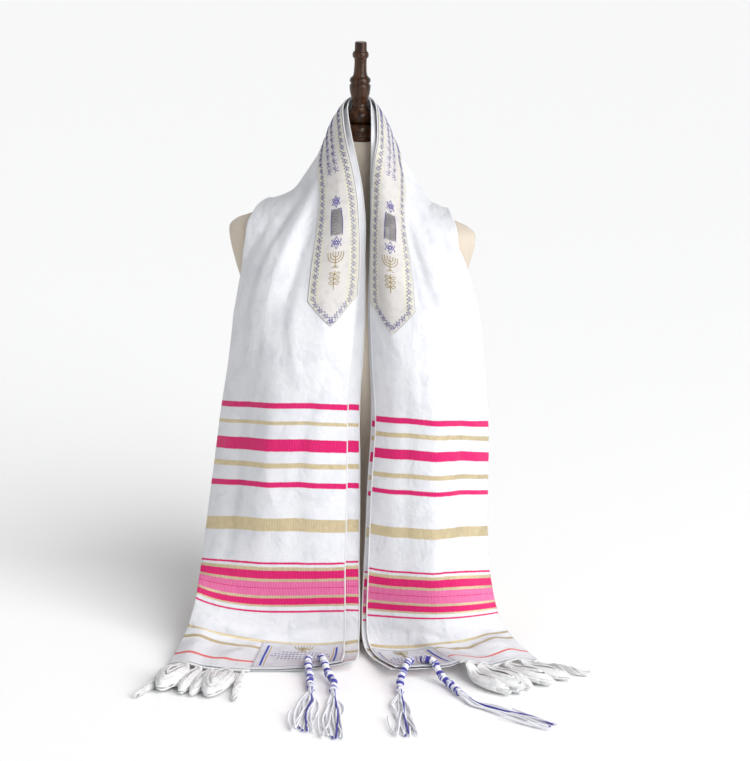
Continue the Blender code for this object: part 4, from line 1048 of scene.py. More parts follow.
def thread_tree():
    """Gives each line its round of thread, as thick as its points say."""
    tree, given, result = new_tree("laid_thread", Sides="Int", Finish="Material")
    add = partial(joined, tree)
    curve = add("GeometryNodeMeshToCurve", {"Mesh": given["Geometry"]})
    thick = add("GeometryNodeInputNamedAttribute", {"Name": "thick"}, data_type="FLOAT")
    outline = add("GeometryNodeCurvePrimitiveCircle", {"Resolution": given["Sides"], "Radius": 1.0})
    sweep = {"Curve": curve, "Profile Curve": outline, "Scale": thick, "Fill Caps": True}
    real = add("GeometryNodeRealizeInstances", {0: add("GeometryNodeCurveToMesh", sweep)})
    smooth = add("GeometryNodeSetShadeSmooth", {0: real})
    done = add("GeometryNodeSetMaterial", {"Geometry": smooth, "Material": given["Finish"]})
    tree.links.new(done, result[0])
    return tree


def grown(piece, tree, values, *helpers):
    """Runs a tree on a piece, keeps its plain mesh and clears away what it was grown from."""
    growth = piece.modifiers.new("growth", "NODES")
    growth.node_group = tree
    names = {item.name: item.identifier for item in tree.interface.items_tree if item.in_out == "INPUT"}
    for title, value in values.items():
        growth[names[title]] = value
    bpy.context.view_layer.update()
    graph = bpy.context.evaluated_depsgraph_get()
    grown_piece = piece.evaluated_get(graph)
    made = bpy.data.meshes.new_from_object(grown_piece, preserve_all_data_layers=True, depsgraph=graph)
    piece.modifiers.clear()
    old, piece.data = piece.data, made
    bpy.data.meshes.remove(old)
    made.name = piece.name
    if not made.materials:
        made.materials.append(values["Finish"])
    for helper in helpers:
        bpy.data.objects.remove(helper, do_unlink=True)
    return piece


def motif_object(name, points, faces):
    mesh = bpy.data.meshes.new(name)
    mesh.from_pydata(points, [], faces)
    mesh.polygons.foreach_set("use_smooth", [True] * len(mesh.polygons))
    made = bpy.data.objects.new(name, mesh)
    bpy.context.scene.collection.objects.link(made)
    return made


def stitch_motif(length, half, sides=5):
    """One stitch: a short round of thread whose ends dive into the cloth."""
    spots = [(-0.5, -0.9, 0.3), (-0.34, 0.3, 1.0), (0.0, 0.6, 1.0), (0.34, 0.3, 1.0), (0.5, -0.9, 0.3)]
    points = []
    for along, rise, thick in spots:
        for k in range(sides):
            turn = math.tau * k / sides
            beside, up = math.cos(turn) * half * thick, rise * half + math.sin(turn) * half * thick
            points.append((along * length, beside, up))
    faces = []
    for low in range(0, 4 * sides, sides):
        for k in range(sides):
            after = (k + 1) % sides
            faces.append([low + k, low + sides + k, low + sides + after, low + after])
    faces += [list(range(sides)), [4 * sides + k for k in range(sides)][::-1]]
    return motif_object("stitch", points, [face[::-1] for face in faces])


def drawn_motif(name, strokes, half):
    """Straight strokes worked as thin three-sided rounds of thread, as one motif."""
    points, faces = [], []
    for start, end in strokes:
        start, end = np.array([*start, 0.0]), np.array([*end, 0.0])
        heading = unit(end - start)
        beside = np.array([-heading[1], heading[0], 0])
        first = len(points)
        for spot in (start - heading * half * 0.6, end + heading * half * 0.6):
            for over, up in ((-1.0, -0.7), (1.0, -0.7), (0.0, 1.1)):
                points.append(spot + beside * over * half + np.array([0, 0, up * half]))
        faces += [[first + k, first + (k + 1) % 3, first + 3 + (k + 1) % 3, first + 3 + k][::-1] for k in range(3)]
        faces += [[first, first + 1, first + 2], [first + 5, first + 4, first + 3]]
    return motif_object(name, [tuple(point) for point in points], faces)


def star_strokes(radius, middle=(0.0, 0.0)):
    """Two crossed triangles, as six strokes."""
    strokes = []
    for part in (0.25, 0.75):
        turns = [math.tau * (k / 3 + part) for k in range(3)]
        corners = [(middle[0] + radius * math.cos(t), middle[1] + radius * math.sin(t)) for t in turns]
        strokes += list(zip(corners, corners[1:] + corners[:1]))
    return strokes


def leaf_motif(length, half_width, rise):
    """A leaf worked in satin stitch: pointed, crowned along its middle."""
    along = (-0.5, -0.22, 0.12, 0.5)
    wide = (0.0, 0.85, 0.75, 0.0)
    points = []
    for a, w in zip(along, wide):
        side = w * half_width
        points += [(a * length, side, 0), (a * length, 0, rise * (0.35 + w)), (a * length, -side, 0)]
    faces = [[3 * r + k, 3 * r + 3 + k, 3 * r + 4 + k, 3 * r + 1 + k] for r in range(3) for k in range(2)]
    return motif_object("leaf", points, [face[::-1] for face in faces] + [[0, 3, 6, 9, 11, 8, 5, 2]])


row_tree, laid_tree = stitch_row_tree(), thread_tree()
white_thread = thread_finish("white_thread", THREAD_WHITE)
blue_thread = thread_finish("blue_thread", THREAD_BLUE)
deep_blue_thread = thread_finish("deep_blue_thread", THREAD_DEEP_BLUE)
gold_thread = thread_finish("gold_thread", THREAD_GOLD, 0.35)
grey_thread = thread_finish("grey_thread", THREAD_GREY)


def stitched(name, points, normals, motif, pitch, finish, lean=0.0, uneven=0.08, seed=3, slot="band_satin"):
    """Sets one motif along lines of points, lying in the face that the normals give."""
    row = line_mesh(name, points, normals)
    values = {"Motif": motif, "Pitch": pitch, "Lean": lean, "Uneven": uneven, "Seed": seed, "Finish": finish}
    settle(grown(row, row_tree, values, motif))


def sew_row(name, lines, motif, pitch, finish, **more):
    """Sews one motif along lines given as runs and shares with a lift over the cloth."""
    points, normals = zip(*(on_shawl(*line) for line in lines))
    stitched(name, points, normals, motif, pitch, finish, **more)


def lay_thread(name, lines, radius, finish):
    """Lays rounds of thread along lines given as runs and shares with a lift over the cloth."""
    placed = [on_shawl(*line)[0] for line in lines]
    laid = line_mesh(name, placed, thick=[np.full(len(points), radius) for points in placed])
    settle(grown(laid, laid_tree, {"Sides": 5, "Finish": finish}))


def share_at(metres):
    """The share across of a place this far over the neckband or a patch from its inner side."""
    return BAND_NEAR + np.asarray(metres) / FOLDED_WIDTH


def even_line(corners, count):
    """Points at an even pitch along straight lines between corners, the corners too."""
    corners = np.array(corners)
    way = np.concatenate([[0], np.cumsum(np.linalg.norm(np.diff(corners, axis=0), axis=1))])
    spots = np.unique(np.concatenate([way, np.linspace(0, way[-1], count)]))
    return [np.interp(spots, way, corners[:, k]) for k in (0, 1)]


def band_outline(inset, lift=BAND_TOP):
    """A line round the neckband this far inside its edge, pointed at both ends."""
    start, end = BAND_ENDS[0] + inset * 0.9, BAND_ENDS[1] - inset * 0.9
    middle, far = BAND_WIDTH / 2, BAND_WIDTH - inset
    bend = BAND_POINT * (middle - inset) / middle
    run, over = even_line([(start, middle), (start + bend, inset), (end - bend, inset), (end, middle),
                           (end - bend, far), (start + bend, far), (start, middle)], 480)
    return run, on_band(run, share_at(over)), lift


sew_row("neckband_stitching", [band_outline(0.0011)], stitch_motif(0.0024, 0.00028), 0.0030, white_thread,
        uneven=0.05)
vine = [((-0.0051, 0.0036), (-0.0002, -0.0036)), ((-0.0002, -0.0036), (0.0051, 0.0036))]
vine += star_strokes(0.0025, (-0.0002, 0.0014))[:3] + [((-0.0046, -0.0030), (-0.0030, -0.0006))]
sew_row("neckband_border", [band_outline(0.0090)], drawn_motif("vine", vine, 0.00052), 0.0104, blue_thread,
        uneven=0.14)

way = np.linspace(-0.146, 0.146, 200)
leaf_rows = [(way, on_band(way, share_at(over)), BAND_TOP) for over in (0.0305, 0.0460)]
sprout = [
    ((-0.0046, -0.0024), (0.0, 0.0028)), ((0.0, 0.0028), (0.0044, -0.0012)), ((0.0, 0.0026), (0.0006, -0.0036)),
    ((-0.0042, 0.0036), (-0.0020, 0.0010)), ((0.0022, 0.0042), (0.0044, 0.0014)),
]
sew_row("neckband_leaves", leaf_rows, drawn_motif("sprout", sprout, 0.00058), 0.0112, blue_thread, uneven=0.35)

MOTIF_LINE = 0.0385
PANEL_RUN = 0.2230
PANEL_LONG = 0.0180
PANEL_WIDE = 0.0090
PANEL_LINES = 15
PANEL_WEFTS = 17


def drawn(side, run_at, strokes, scale=1.0):
    """Strokes of (sideways, downwards) metres placed on one half of the neckband."""
    lines = []
    for stroke in strokes:
        sideways, down = np.array(stroke, float).T
        run = side * (run_at + down * scale)
        lines.append((run, on_band(run, share_at(MOTIF_LINE + sideways * scale)), BAND_TOP + 0.0001))
    return lines


def arc(radius, middle):
    turn = np.linspace(0, math.pi, 14)
    return np.column_stack([radius * np.cos(turn), middle + radius * np.sin(turn)])


def sprig_leaf(side, foot):
    """The outline of one leaf that grows to a side from the stem."""
    return [(0, 0.004 + foot), (side * 0.0040, 0.0016 + foot), (side * 0.0058, 0.0030 + foot),
            (side * 0.0030, 0.0056 + foot), (0, 0.004 + foot)]


lamp_radii = (0.0040, 0.0078, 0.0116)
lamp = [arc(radius, 0.0035) for radius in lamp_radii]
lamp += [[(0, -0.0002), (0, 0.0215)]]
lamp += [[(-0.0048, 0.0222), (0.0048, 0.0222)], [(-0.0030, 0.0203), (0.0030, 0.0203)]]
lamp += [[(x, 0.0032), (x, 0.0004)] for radius in lamp_radii for x in (-radius, radius)]
sprig = [[(0, 0), (0.0006, 0.010), (0, 0.021)]]
sprig += [sprig_leaf(side, 0.0050 * k) for k in range(3) for side in (-1, 1)]
panel_edge = [
    (-PANEL_WIDE, -PANEL_LONG), (PANEL_WIDE, -PANEL_LONG), (PANEL_WIDE * 1.1, 0), (PANEL_WIDE, PANEL_LONG),
    (-PANEL_WIDE, PANEL_LONG), (-PANEL_WIDE * 1.1, 0), (-PANEL_WIDE, -PANEL_LONG),
]
hatching = []
for k in range(PANEL_LINES):
    across = -PANEL_WIDE + 2 * PANEL_WIDE * (k + 0.5) / PANEL_LINES
    reach = PANEL_LONG - 0.0030 * abs(across / PANEL_WIDE) ** 3 + 0.0007 * (-1) ** k
    hatching.append([(across, -reach), (across * 1.04, 0), (across, reach)])
for k in range(PANEL_WEFTS):
    down = PANEL_LONG * (k - PANEL_WEFTS // 2) / 8.6
    hatching.append([(-PANEL_WIDE, down - 0.001), (0, down + 0.001), (PANEL_WIDE, down - 0.001)])
stars = star_strokes(0.0086) + star_strokes(0.0036)
gold_lines, grey_lines, blue_lines = [], [], []
for side in (-1, 1):
    gold_lines += drawn(side, 0.2640, lamp) + drawn(side, 0.2905, sprig, 1.3)
    grey_lines += drawn(side, PANEL_RUN, hatching)
    blue_lines += drawn(side, PANEL_RUN, [panel_edge]) + drawn(side, 0.1945, stars) + drawn(side, 0.2515, stars)
lay_thread("neckband_gold_work", gold_lines, 0.00055, gold_thread)
lay_thread("neckband_grey_work", grey_lines, 0.00030, grey_thread)
lay_thread("neckband_blue_work", blue_lines, 0.00052, blue_thread)
# A dark grey thread round the neckband's edge: partly its outline thread, partly a painted shadow of the band's
# thickness.
lay_thread("neckband_rim", [band_outline(-0.0002, BAND_TOP - 0.0005)], 0.00042, grey_thread)

# Overlocking along the shawl's two open edges and both hems: white thread whipped over the edge,
# and a finer row over a cord that rounds the long edges.
outer_edge, outer_face = shawl_middle[:, 0], shawl_normals[:, 0]
inner_edge, inner_face = shawl_middle[:, -1], shawl_normals[:, -1]
edge_faces = [outer_face, -inner_face]
stitched("edge_overlock", [outer_edge + outer_face * 0.0005, inner_edge - inner_face * 0.0005], edge_faces,
         stitch_motif(0.0030, 0.00042), 0.0016, white_thread, math.radians(64), 0.1, 9, "shawl_cloth")
side_ways = unit(shawl_middle[:, 0] - shawl_middle[:, 1])
stitched("edge_cord", [outer_edge + side_ways * 0.0003, inner_edge], edge_faces,
         stitch_motif(0.0026, 0.0007), 0.0021, white_thread, 0.0, 0.05, 4, "shawl_cloth")
hem_faces = [shawl_normals[row, :OUTER_COLUMNS] for row in (1, -2)]
hems = [shawl_middle[row, :OUTER_COLUMNS] + face * 0.0005 for row, face in zip((1, -2), hem_faces)]
stitched("hem_overlock", hems, hem_faces,
         stitch_motif(0.0030, 0.0004), 0.0016, white_thread, math.radians(64), 0.1, 11, "shawl_cloth")

# What is worked on the corner patches: a gilt lampstand, rows of small leaves in blue and an
# eyelet sewn round with thread, all inside a stitched edge.
PATCH_HEM_SIDE = 0.0045
PATCH_FAR_SIDE = 0.0945
PATCH_EDGE = 0.0012
EYELET_RADIUS = 0.0042
EYELET_AT = 0.0300


def patch_line(side, sideways, distance, lift=0.0):
    """A line on one patch, from metres over it and metres from the hem."""
    return patch_run(side, np.asarray(distance)), share_at(sideways), BAND_TOP + lift


patch_edges, patch_leaves, patch_lamps, eyelets = [], [], [], []
for side, eyelet_share in ((-1, 0.160), (1, 0.225)):
    far = PATCH_WIDTH - PATCH_EDGE
    corners = [(PATCH_EDGE, PATCH_HEM_SIDE), (far, PATCH_HEM_SIDE), (far, PATCH_FAR_SIDE),
               (PATCH_EDGE, PATCH_FAR_SIDE), (PATCH_EDGE, PATCH_HEM_SIDE)]
    patch_edges.append(patch_line(side, *even_line(corners, 260)))
    for row, reach in ((0.0660, 0.026), (0.0570, 0.036), (0.0480, 0.040), (0.0390, 0.030)):
        across = np.linspace(PATCH_WIDTH / 2 - reach, PATCH_WIDTH / 2 + reach, 60)
        patch_leaves.append(patch_line(side, across, np.full_like(across, row)))
    for stroke in lamp:
        sideways, down = np.array(stroke, float).T
        patch_lamps.append(patch_line(side, PATCH_WIDTH / 2 + sideways * 1.15, 0.0925 - down * 0.95, 0.0001))
    turn = np.linspace(0, math.tau, 40)
    middle = (eyelet_share - BAND_NEAR) * FOLDED_WIDTH
    round_it = (middle + EYELET_RADIUS * np.cos(turn), EYELET_AT + EYELET_RADIUS * np.sin(turn))
    eyelets.append(patch_line(side, *round_it))
sew_row("patch_stitching", patch_edges, stitch_motif(0.0022, 0.00026), 0.0028, grey_thread, slot="patch_satin")
sew_row("patch_leaves", patch_leaves, leaf_motif(0.0046, 0.0014, 0.0004), 0.0050, deep_blue_thread,
        lean=math.radians(34), uneven=0.25, slot="patch_satin")
lay_thread("patch_lampstands", patch_lamps, 0.00060, gold_thread)
sew_row("patch_eyelets", eyelets, stitch_motif(0.0030, 0.0004), 0.0011, white_thread, lean=math.radians(85),
        slot="patch_satin")

# The fringe: a plaited heading along each hem, and bunches of soft white floss tied to it. Each
# bunch lies in loops that swell like a petal on the table; the bunches at the ends are twisted.
Bunch = namedtuple("Bunch", "place swing curl length half_width half_height twist")
LEFT_BUNCHES = (
    Bunch(0.065, 0.03, 0.12, 0.108, 0.0048, 0.0034, 1.30),
    Bunch(0.250, -0.04, -0.16, 0.103, 0.0215, 0.0090, 0.0),
    Bunch(0.435, -0.06, -0.10, 0.098, 0.0100, 0.0066, 0.0),
    Bunch(0.580, -0.08, 0.06, 0.094, 0.0108, 0.0072, 0.0),
    Bunch(0.770, -0.08, -0.10, 0.092, 0.0190, 0.0105, 0.0),
    Bunch(0.930, -0.06, -0.20, 0.118, 0.0058, 0.0038, 2.60),
)
RIGHT_BUNCHES = (
    Bunch(0.090, -0.02, 0.24, 0.092, 0.0130, 0.0080, 0.0),
    Bunch(0.270, 0.04, 0.16, 0.094, 0.0185, 0.0100, 0.0),
    Bunch(0.450, 0.08, -0.04, 0.086, 0.0125, 0.0080, 0.0),
    Bunch(0.610, 0.12, 0.14, 0.088, 0.0150, 0.0090, 0.0),
    Bunch(0.770, 0.18, 0.16, 0.086, 0.0110, 0.0066, 0.0),
    Bunch(0.920, 0.20, 0.26, 0.092, 0.0062, 0.0042, 1.60),
)
FRINGE_FROM = 0.50
BRAID_DEPTH = 0.004
FLOSS_LOOPS = 54
FLOSS_STRANDS = 30
FLOSS_STEPS = 31
FLOSS_RADIUS = 0.00072
FLOSS_CORES = (-0.60, -0.22, 0.22, 0.60)
FLOSS_WHITE = (0.82, 0.82, 0.81, 1)
FLOSS_SHADE = (0.64, 0.65, 0.66, 1)
PLAIT_PITCH = 0.0095
PLAIT_RADIUS = 0.00085
TIE_STEPS = 42


def floss_finish():
    made, spot = new_finish("fringe_floss")
    soft, fine = spot.noise(90, 3), spot.noise(2400)
    colour = (soft.rising(0.35, 0.70) * 0.7 + fine * 0.3).between(FLOSS_WHITE, FLOSS_SHADE)
    return dressed(made, colour, fine * 0.25 + 0.30, (fine, 0.0002, 0.6), {"Sheen Weight": 0.25})


def hem_at(end, share):
    """The hem's point midway between the layers, the way off the cloth there and its normal."""
    side = math.copysign(1, end)
    places = (np.array([end - side * off]) for off in (0, 0.004))
    here, back = (read_grid(middle_points, place, np.array([share]))[0] for place in places)
    return here, unit(here - back), unit(read_grid(middle_normals, np.array([end]), np.array([share])))[0]


def plaited_heading(end):
    """Three cords plaited along the hem."""
    shares = np.linspace(FRINGE_FROM, 1.0, 230)
    frames = [hem_at(end, share) for share in shares]
    length = np.concatenate([[0], np.cumsum([np.linalg.norm(b[0] - a[0]) for a, b in zip(frames, frames[1:])])])
    lines = []
    for cord in range(3):
        turn = length / PLAIT_PITCH * math.tau + cord * math.tau / 3
        lines.append(np.array([
            here + away * (0.0021 + 0.0012 * math.sin(a)) + normal * 0.0010 * math.sin(2 * a)
            for (here, away, normal), a in zip(frames, turn)
        ]))
    return lines


def floss_bunch(end, share, bunch, dice):
    """The strands of one bunch and the thread that ties them."""
    here, away, _ = hem_at(end, share)
    heading = math.atan2(away[1], away[0]) + bunch.swing
    start = here + away * (BRAID_DEPTH - 0.0010)
    steps = np.linspace(0, 1.1, 45)
    turn = heading + bunch.curl * steps**2
    ahead = np.column_stack([np.cos(turn), np.sin(turn)])
    walked = np.concatenate([[[0, 0]], np.cumsum((ahead[1:] + ahead[:-1]) / 2, axis=0)])
    spots = start[:2] + walked * bunch.length * steps[1]
    sides = np.column_stack([-np.sin(turn), np.cos(turn)])

    def section(t):
        belly = np.sin(math.pi / 2 * np.clip(t / 0.48, 0, 1)) * (1 - 0.30 * step_between(t, 0.55, 1.0))
        half_width = bunch.half_width * (0.22 + 0.90 * belly)
        half_height = bunch.half_height * (0.34 + 0.86 * belly)
        settled = step_between(t, 0.0, 0.32)
        height = start[2] * (1 - settled) + (half_height + FLOSS_RADIUS + 0.0002) * settled
        return half_width, half_height, height

    def put(t, over, up):
        t = np.clip(t, 0, 1.09)
        half_width, half_height, centre = section(t)
        flat = np.column_stack([np.interp(t, steps, spots[:, k]) for k in (0, 1)])
        beside = np.column_stack([np.interp(t, steps, sides[:, k]) for k in (0, 1)])
        flat = flat + beside * (half_width * over)[:, None]
        height = np.maximum(centre + half_height * up, FLOSS_RADIUS + 0.0003)
        return np.column_stack([flat, height])

    lines = []
    twisted = abs(bunch.twist) > 1
    for _ in range(FLOSS_STRANDS if twisted else FLOSS_LOOPS):
        out, round_it = math.sqrt(dice.uniform(0.03, 1.0)), dice.uniform(0, math.tau)
        wave, phase, pace = dice.uniform(0.01, 0.06), dice.uniform(0, math.tau), dice.uniform(5, 11)
        s = np.linspace(0, 1, FLOSS_STEPS)
        if twisted:
            angle = round_it + math.tau * bunch.twist * s
            over, up = out * np.cos(angle), out * np.sin(angle)
            lines.append(put(s * dice.uniform(0.90, 1.0), over + wave * np.sin(s * pace + phase), up))
            continue
        lift = math.sqrt(1 - out**2) * (1 if dice.uniform() < 0.72 else -1)
        t = (0.62 + 0.38 * out) * dice.uniform(0.97, 1.0) * np.sin(math.pi * s) ** 0.55
        over = out * np.cos(math.pi * s) + wave * np.sin(s * pace + phase)
        lines.append(put(t, over, lift * (0.55 + 0.45 * np.sin(math.pi * s)) + wave * np.cos(s * pace + phase)))
    t = np.linspace(0.055, 0.085, TIE_STEPS)
    angle = np.linspace(0, 3 * math.tau, TIE_STEPS)
    lines.append(put(t, 1.12 * np.cos(angle), 1.12 * np.sin(angle)))
    for over in FLOSS_CORES:
        t = np.linspace(0.02, 0.93 - 0.42 * over**2, FLOSS_STEPS)
        lines.append(put(t, np.full(FLOSS_STEPS, over * (0.4 if twisted else 1.0)), np.full(FLOSS_STEPS, -0.1)))
    return lines


def make_fringe(name, node, end, bunches, seed, finish):
    dice = np.random.default_rng(seed)
    heading = plaited_heading(end)
    lines, thick = list(heading), [np.full(len(line), PLAIT_RADIUS) for line in heading]
    for bunch in bunches:
        strands = floss_bunch(end, FRINGE_FROM + (1 - FRINGE_FROM) * bunch.place, bunch, dice)
        lines += strands
        inner = len(strands) - len(FLOSS_CORES)
        for place, strand in enumerate(strands):
            t = np.linspace(0, 1, len(strand))
            if place < inner:
                ends = np.minimum(1, 0.5 + 5 * t) * np.minimum(1, 0.5 + 5 * (1 - t))
                thick.append(FLOSS_RADIUS * dice.uniform(0.75, 1.2) * ends)
            else:
                thick.append(bunch.half_height * 0.70 * (0.25 + 0.75 * np.sin(math.pi * (0.08 + 0.70 * t))))
    fringe = line_mesh(name, lines, thick=thick)
    grown(fringe, laid_tree, {"Sides": 5, "Finish": finish})
    settle(fringe, node)


floss = floss_finish()
make_fringe("fringe_floss_left", "fringe_left", LEFT_END, LEFT_BUNCHES, 21, floss)
make_fringe("fringe_floss_right", "fringe_right", RIGHT_END, RIGHT_BUNCHES, 22, floss)

# The corner tassels: eight twisted wool and cotton strings through an eyelet, wound in blocks of
# blue and white between five double knots, and left loose below. Each lies from its patch to the table.
Tassel = namedtuple("Tassel", "name end eyelet crossing head strings spread")
TASSELS = (
    Tassel("tzitzit_left_a", LEFT_END, (0.026, 0.185), (0.001, 0.178),
           ((-0.0275, -0.259, 0.0095), (-0.0245, -0.277, 0.0070), (-0.0190, -0.305, 0.0068)),
           ((-0.0175, -0.335), (-0.0165, -0.370), (-0.0150, -0.405), (-0.0120, -0.438)), 0.0042),
    Tassel("tzitzit_left_b", LEFT_END, (0.026, 0.125), (0.001, 0.095),
           ((0.0000, -0.259, 0.0105), (0.0080, -0.274, 0.0074), (0.0130, -0.308, 0.0068)),
           ((0.0165, -0.330), (0.0215, -0.368), (0.0265, -0.410), (0.0330, -0.455)), 0.0038),
    Tassel("tzitzit_right_a", RIGHT_END, (0.022, 0.190), (0.001, 0.100),
           ((0.1045, -0.257, 0.0150), (0.1035, -0.274, 0.0074), (0.1060, -0.294, 0.0068)),
           ((0.1090, -0.320), (0.1160, -0.355), (0.1230, -0.395), (0.1290, -0.434)), 0.0040),
    Tassel("tzitzit_right_b", RIGHT_END, (0.022, 0.275), (0.001, 0.300),
           ((0.1590, -0.244, 0.0130), (0.1720, -0.258, 0.0074), (0.1890, -0.286, 0.0068)),
           ((0.2080, -0.3060), (0.2420, -0.3270), (0.2800, -0.3480), (0.3260, -0.3700)), 0.0036),
)
HEAD_RADIUS = 0.0050
HEAD_LIFT = 0.0068
HEAD_CORE = 0.0036
KNOT_LENGTH = 0.0062
KNOT_RADIUS = 0.00115
KNOT_STEPS = 46
WINDING_RADIUS = 0.00085
WINDING_PITCH = 0.00175
KNOTS = 5
WOUND_BLOCKS = 13
STRINGS = 9
PLY_RADIUS = 0.00090
PLY_TURN = 0.0062
BLUE_STRING = 3
DIPPED_STRINGS = (4, 6)
DIPPED_FROM = 0.965
LOOPED_STRINGS = (2, 5)
STRING_STEPS = 190
CORD_WHITE = (0.86, 0.86, 0.88, 1)
CORD_WHITE_SHADE = (0.62, 0.63, 0.69, 1)
CORD_BLUE = (0.060, 0.055, 0.42, 1)
CORD_BLUE_SHADE = (0.020, 0.020, 0.19, 1)


def cord_finish():
    made, spot = new_finish("tassel_cord")
    dye = spot.node("ShaderNodeAttribute", {"attribute_name": "dye"}, output=2)
    fluff, uneven = spot.noise(1500, 3), spot.noise(240)
    edge = (dye + (uneven - 0.5) * 0.5).rising(0.42, 0.58)
    white, blue = uneven.between(CORD_WHITE, CORD_WHITE_SHADE), fluff.between(CORD_BLUE_SHADE, CORD_BLUE)
    relief = (fluff, 0.0003, 0.8)
    return dressed(made, edge.between(white, blue), fluff * 0.3 + 0.55, relief, {"Sheen Weight": 0.2})


def along_path(spots, shares):
    """Points at shares of the length of a smooth path, and the headings there."""
    spots = np.array(spots, float)
    length = np.concatenate([[0], np.cumsum(np.linalg.norm(np.diff(spots, axis=0), axis=1))])
    way = np.asarray(shares) * length[-1]
    found = smooth_through(length, spots, way)
    ahead = smooth_through(length, spots, np.minimum(way + 1e-3, length[-1]))
    behind = smooth_through(length, spots, np.maximum(way - 1e-3, 0))
    return found, unit(ahead - behind), length[-1]


def coiled(centres, headings, turn, radius):
    """Points this far off a path, at angles round it."""
    side = unit(np.cross(headings, (0, 0, 1)))
    rise = np.cross(side, headings)
    return centres + radius * (side * np.cos(turn)[:, None] + rise * np.sin(turn)[:, None])


def wound_head(route, dice):
    """Lines, radii and dye of a head: its core, the winding in blocks and the knots over it."""
    centres, _, length = along_path(route, np.linspace(0, 1, 60))
    lines, thick, dye = [centres], [np.full(60, HEAD_CORE)], [np.zeros(60)]
    turns = length / WINDING_PITCH
    count = int(turns * 13)
    shares = np.linspace(0.01, 0.99, count)
    centres, headings, _ = along_path(route, shares)
    lines.append(coiled(centres, headings, shares * turns * math.tau, HEAD_RADIUS - WINDING_RADIUS))
    thick.append(np.full(count, WINDING_RADIUS))
    dye.append(((shares * WOUND_BLOCKS + 0.5) % 2 < 1.0).astype(float))
    for knot in range(KNOTS):
        middle = (knot + 0.5) / KNOTS if knot < KNOTS - 1 else 0.965
        for strand in range(2):
            shares = middle + np.linspace(-0.5, 0.5, KNOT_STEPS) * (KNOT_LENGTH / length)
            centres, headings, _ = along_path(route, shares)
            angle = np.linspace(0, 1.9 * math.tau, KNOT_STEPS) + strand * math.pi + dice.uniform(0, 6)
            sway = 0.0010 * np.sin(angle + strand * 2)[:, None] * headings
            lines.append(coiled(centres, headings, angle, HEAD_RADIUS - 0.0001) + sway)
            thick.append(np.full(KNOT_STEPS, KNOT_RADIUS))
            dye.append(np.full(KNOT_STEPS, float((knot + strand) % 2)))
    return lines, thick, dye


def string_middle(foot, tassel, string, dice):
    """The middle line of one string from the head's foot to the table; a looped one turns back."""
    looped = string in LOOPED_STRINGS
    steps = np.linspace(0, 1, STRING_STEPS)
    reach = 0.90 + 0.10 * dice.uniform()
    turn_at = 0.74 + 0.08 * dice.uniform()
    back = np.clip((steps - turn_at) / (1 - turn_at), 0, 1)
    way = steps * reach
    if looped:
        way = np.where(steps < turn_at, steps / turn_at * reach, reach * (1 - 0.42 * back))
        way += 0.035 * np.sin(np.clip((steps - turn_at + 0.05) / 0.10, 0, 1) * math.pi)
    spots = [(x, y, 0.0) for x, y in [foot[:2], *tassel.strings]]
    middle, ahead, _ = along_path(spots, np.clip(way, 0, 1.0))
    side = unit(np.cross(ahead, (0, 0, 1)))
    fan = step_between(way, 0.0, 0.26) * (0.60 + 0.14 * np.sin(math.pi * np.clip(way, 0, 1)))
    lane = (string - (STRINGS - 1) / 2) * tassel.spread
    around = math.tau * string / STRINGS
    lateral = lane * fan + (1 - fan) * 0.0026 * math.cos(around)
    wander = dice.uniform(0.0022, 0.0052) * np.sin(way * dice.uniform(4, 8) + dice.uniform(0, 6))
    wander = wander * step_between(way, 0.08, 0.35)
    resting = 0.0018 + 0.0009 * (string % 3) + 0.0007 * np.sin(way * 15 + string)
    if looped:
        thrown = 0.0160 if lane > 0 else -0.0060
        lateral = lateral + step_between(steps, turn_at - 0.30, turn_at + 0.06) * thrown
        resting = resting + 0.0012 * back
    if string == BLUE_STRING:
        resting = resting + 0.0022
    settled = step_between(way, 0.0, 0.24)
    height = np.maximum((foot[2] + 0.0022 * math.sin(around)) * (1 - settled) + resting * settled, 0.0018)
    return middle * (1, 1, 0) + side * (lateral + wander)[:, None] + height[:, None] * np.array([0, 0, 1.0])


def make_cord_tassel(name, tassel, seed, finish):
    dice = np.random.default_rng(seed)
    away = math.copysign(1, tassel.end)
    ends = (tassel.eyelet, tassel.crossing)
    top = [on_shawl([tassel.end - away * distance], [share], HEAD_LIFT)[0][0] for distance, share in ends]
    route = [*top, *np.array(tassel.head)]
    lines, thick, dye = wound_head(route, dice)
    foot = along_path(route, [1.0])[0][0]
    for string in range(STRINGS):
        centre = string_middle(foot, tassel, string, dice)
        run = np.concatenate([[0], np.cumsum(np.linalg.norm(np.diff(centre, axis=0), axis=1))])
        heads = unit(np.gradient(centre, axis=0))
        dipped = (np.linspace(0, 1, STRING_STEPS) > DIPPED_FROM) * (string in DIPPED_STRINGS)
        for ply in (0, 1):
            lines.append(coiled(centre, heads, run / PLY_TURN * math.tau + ply * math.pi, PLY_RADIUS * 0.82))
            thick.append(PLY_RADIUS * np.minimum(1, np.linspace(30, 0.8, STRING_STEPS)))
            dye.append(np.ones(STRING_STEPS) if string == BLUE_STRING else dipped)
    cord = line_mesh(name, lines, thick=thick, dye=dye)
    grown(cord, laid_tree, {"Sides": 6, "Finish": finish})
    settle(cord, tassel.name)


cord_dye = cord_finish()
for seed, tassel in enumerate(TASSELS, 31):
    make_cord_tassel(tassel.name.replace("tzitzit", "tassel"), tassel, seed, cord_dye)

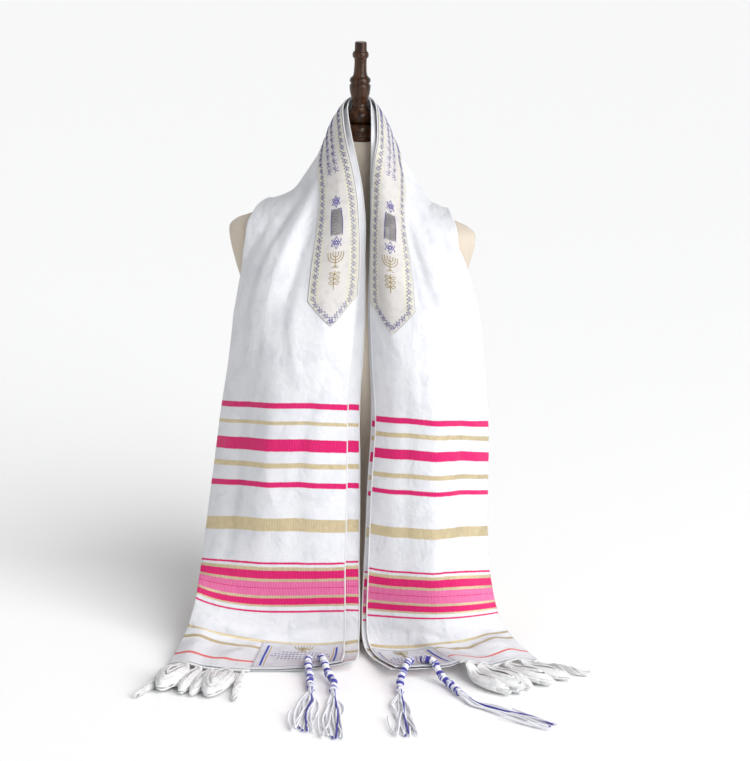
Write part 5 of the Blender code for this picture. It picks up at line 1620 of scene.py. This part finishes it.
# The floor is a plain pale sheet. A broad sun and a low soft light stand to the right and in
# front, and the room round them is pale at its horizon and darker above.
FLOOR_PALE = (0.97, 0.97, 0.97, 1)
FLOOR_SHADE = (0.95, 0.95, 0.95, 1)
FLOOR_REACH = 8
FLOOR_LEVEL = -0.0005


def floor_finish():
    made, spot = new_finish("pale_floor")
    faint = spot.noise(300).between(FLOOR_PALE, FLOOR_SHADE)
    made.node_tree.links.new(faint.value, made.node_tree.nodes["Principled BSDF"].inputs["Base Color"])
    made.node_tree.nodes["Principled BSDF"].inputs["Roughness"].default_value = 0.9
    return made


floor_corners = [(-1, -1), (1, -1), (1, 1), (-1, 1)]
floor_corners = [(x * FLOOR_REACH, y * FLOOR_REACH, FLOOR_LEVEL) for x, y in floor_corners]
floor = add_piece("floor", floor_corners, [[0, 1, 2, 3]], floor_finish())


def add_light(name, kind, spot, aim, energy, spread):
    made = bpy.data.objects.new(name, bpy.data.lights.new(name, kind))
    made.data.energy = energy
    if kind == "SUN":
        made.data.angle = spread
    else:
        made.data.size = spread
    made.location = spot
    made.rotation_euler = (Vector(aim) - Vector(spot)).to_track_quat("-Z", "Y").to_euler()
    bpy.context.scene.collection.objects.link(made)


add_light("key", "SUN", (2.9, -2.5, 3.1), (0.0, -0.1, 0.35), 2.6, math.radians(52))
add_light("low_side", "AREA", (2.2, -1.4, 0.9), (0.0, -0.1, 0.4), 14, 1.0)
world = bpy.data.worlds.new("pale_room")
world.use_nodes = True
room, links = world.node_tree.nodes, world.node_tree.links
facing, parted = room.new("ShaderNodeTexCoord"), room.new("ShaderNodeSeparateXYZ")
height = room.new("ShaderNodeMapRange")
links.new(facing.outputs["Generated"], parted.inputs[0])
links.new(parted.outputs[2], height.inputs["Value"])
for name, value in {"From Min": 0.20, "From Max": 0.65, "To Min": 0.90, "To Max": 0.36}.items():
    height.inputs[name].default_value = value
links.new(height.outputs[0], room["Background"].inputs[1])
room["Background"].inputs[0].default_value = (0.98, 0.985, 1.0, 1)
bpy.context.scene.world = world
bpy.context.scene.view_settings.view_transform = "Standard"
bpy.context.scene.view_settings.exposure = 0.06
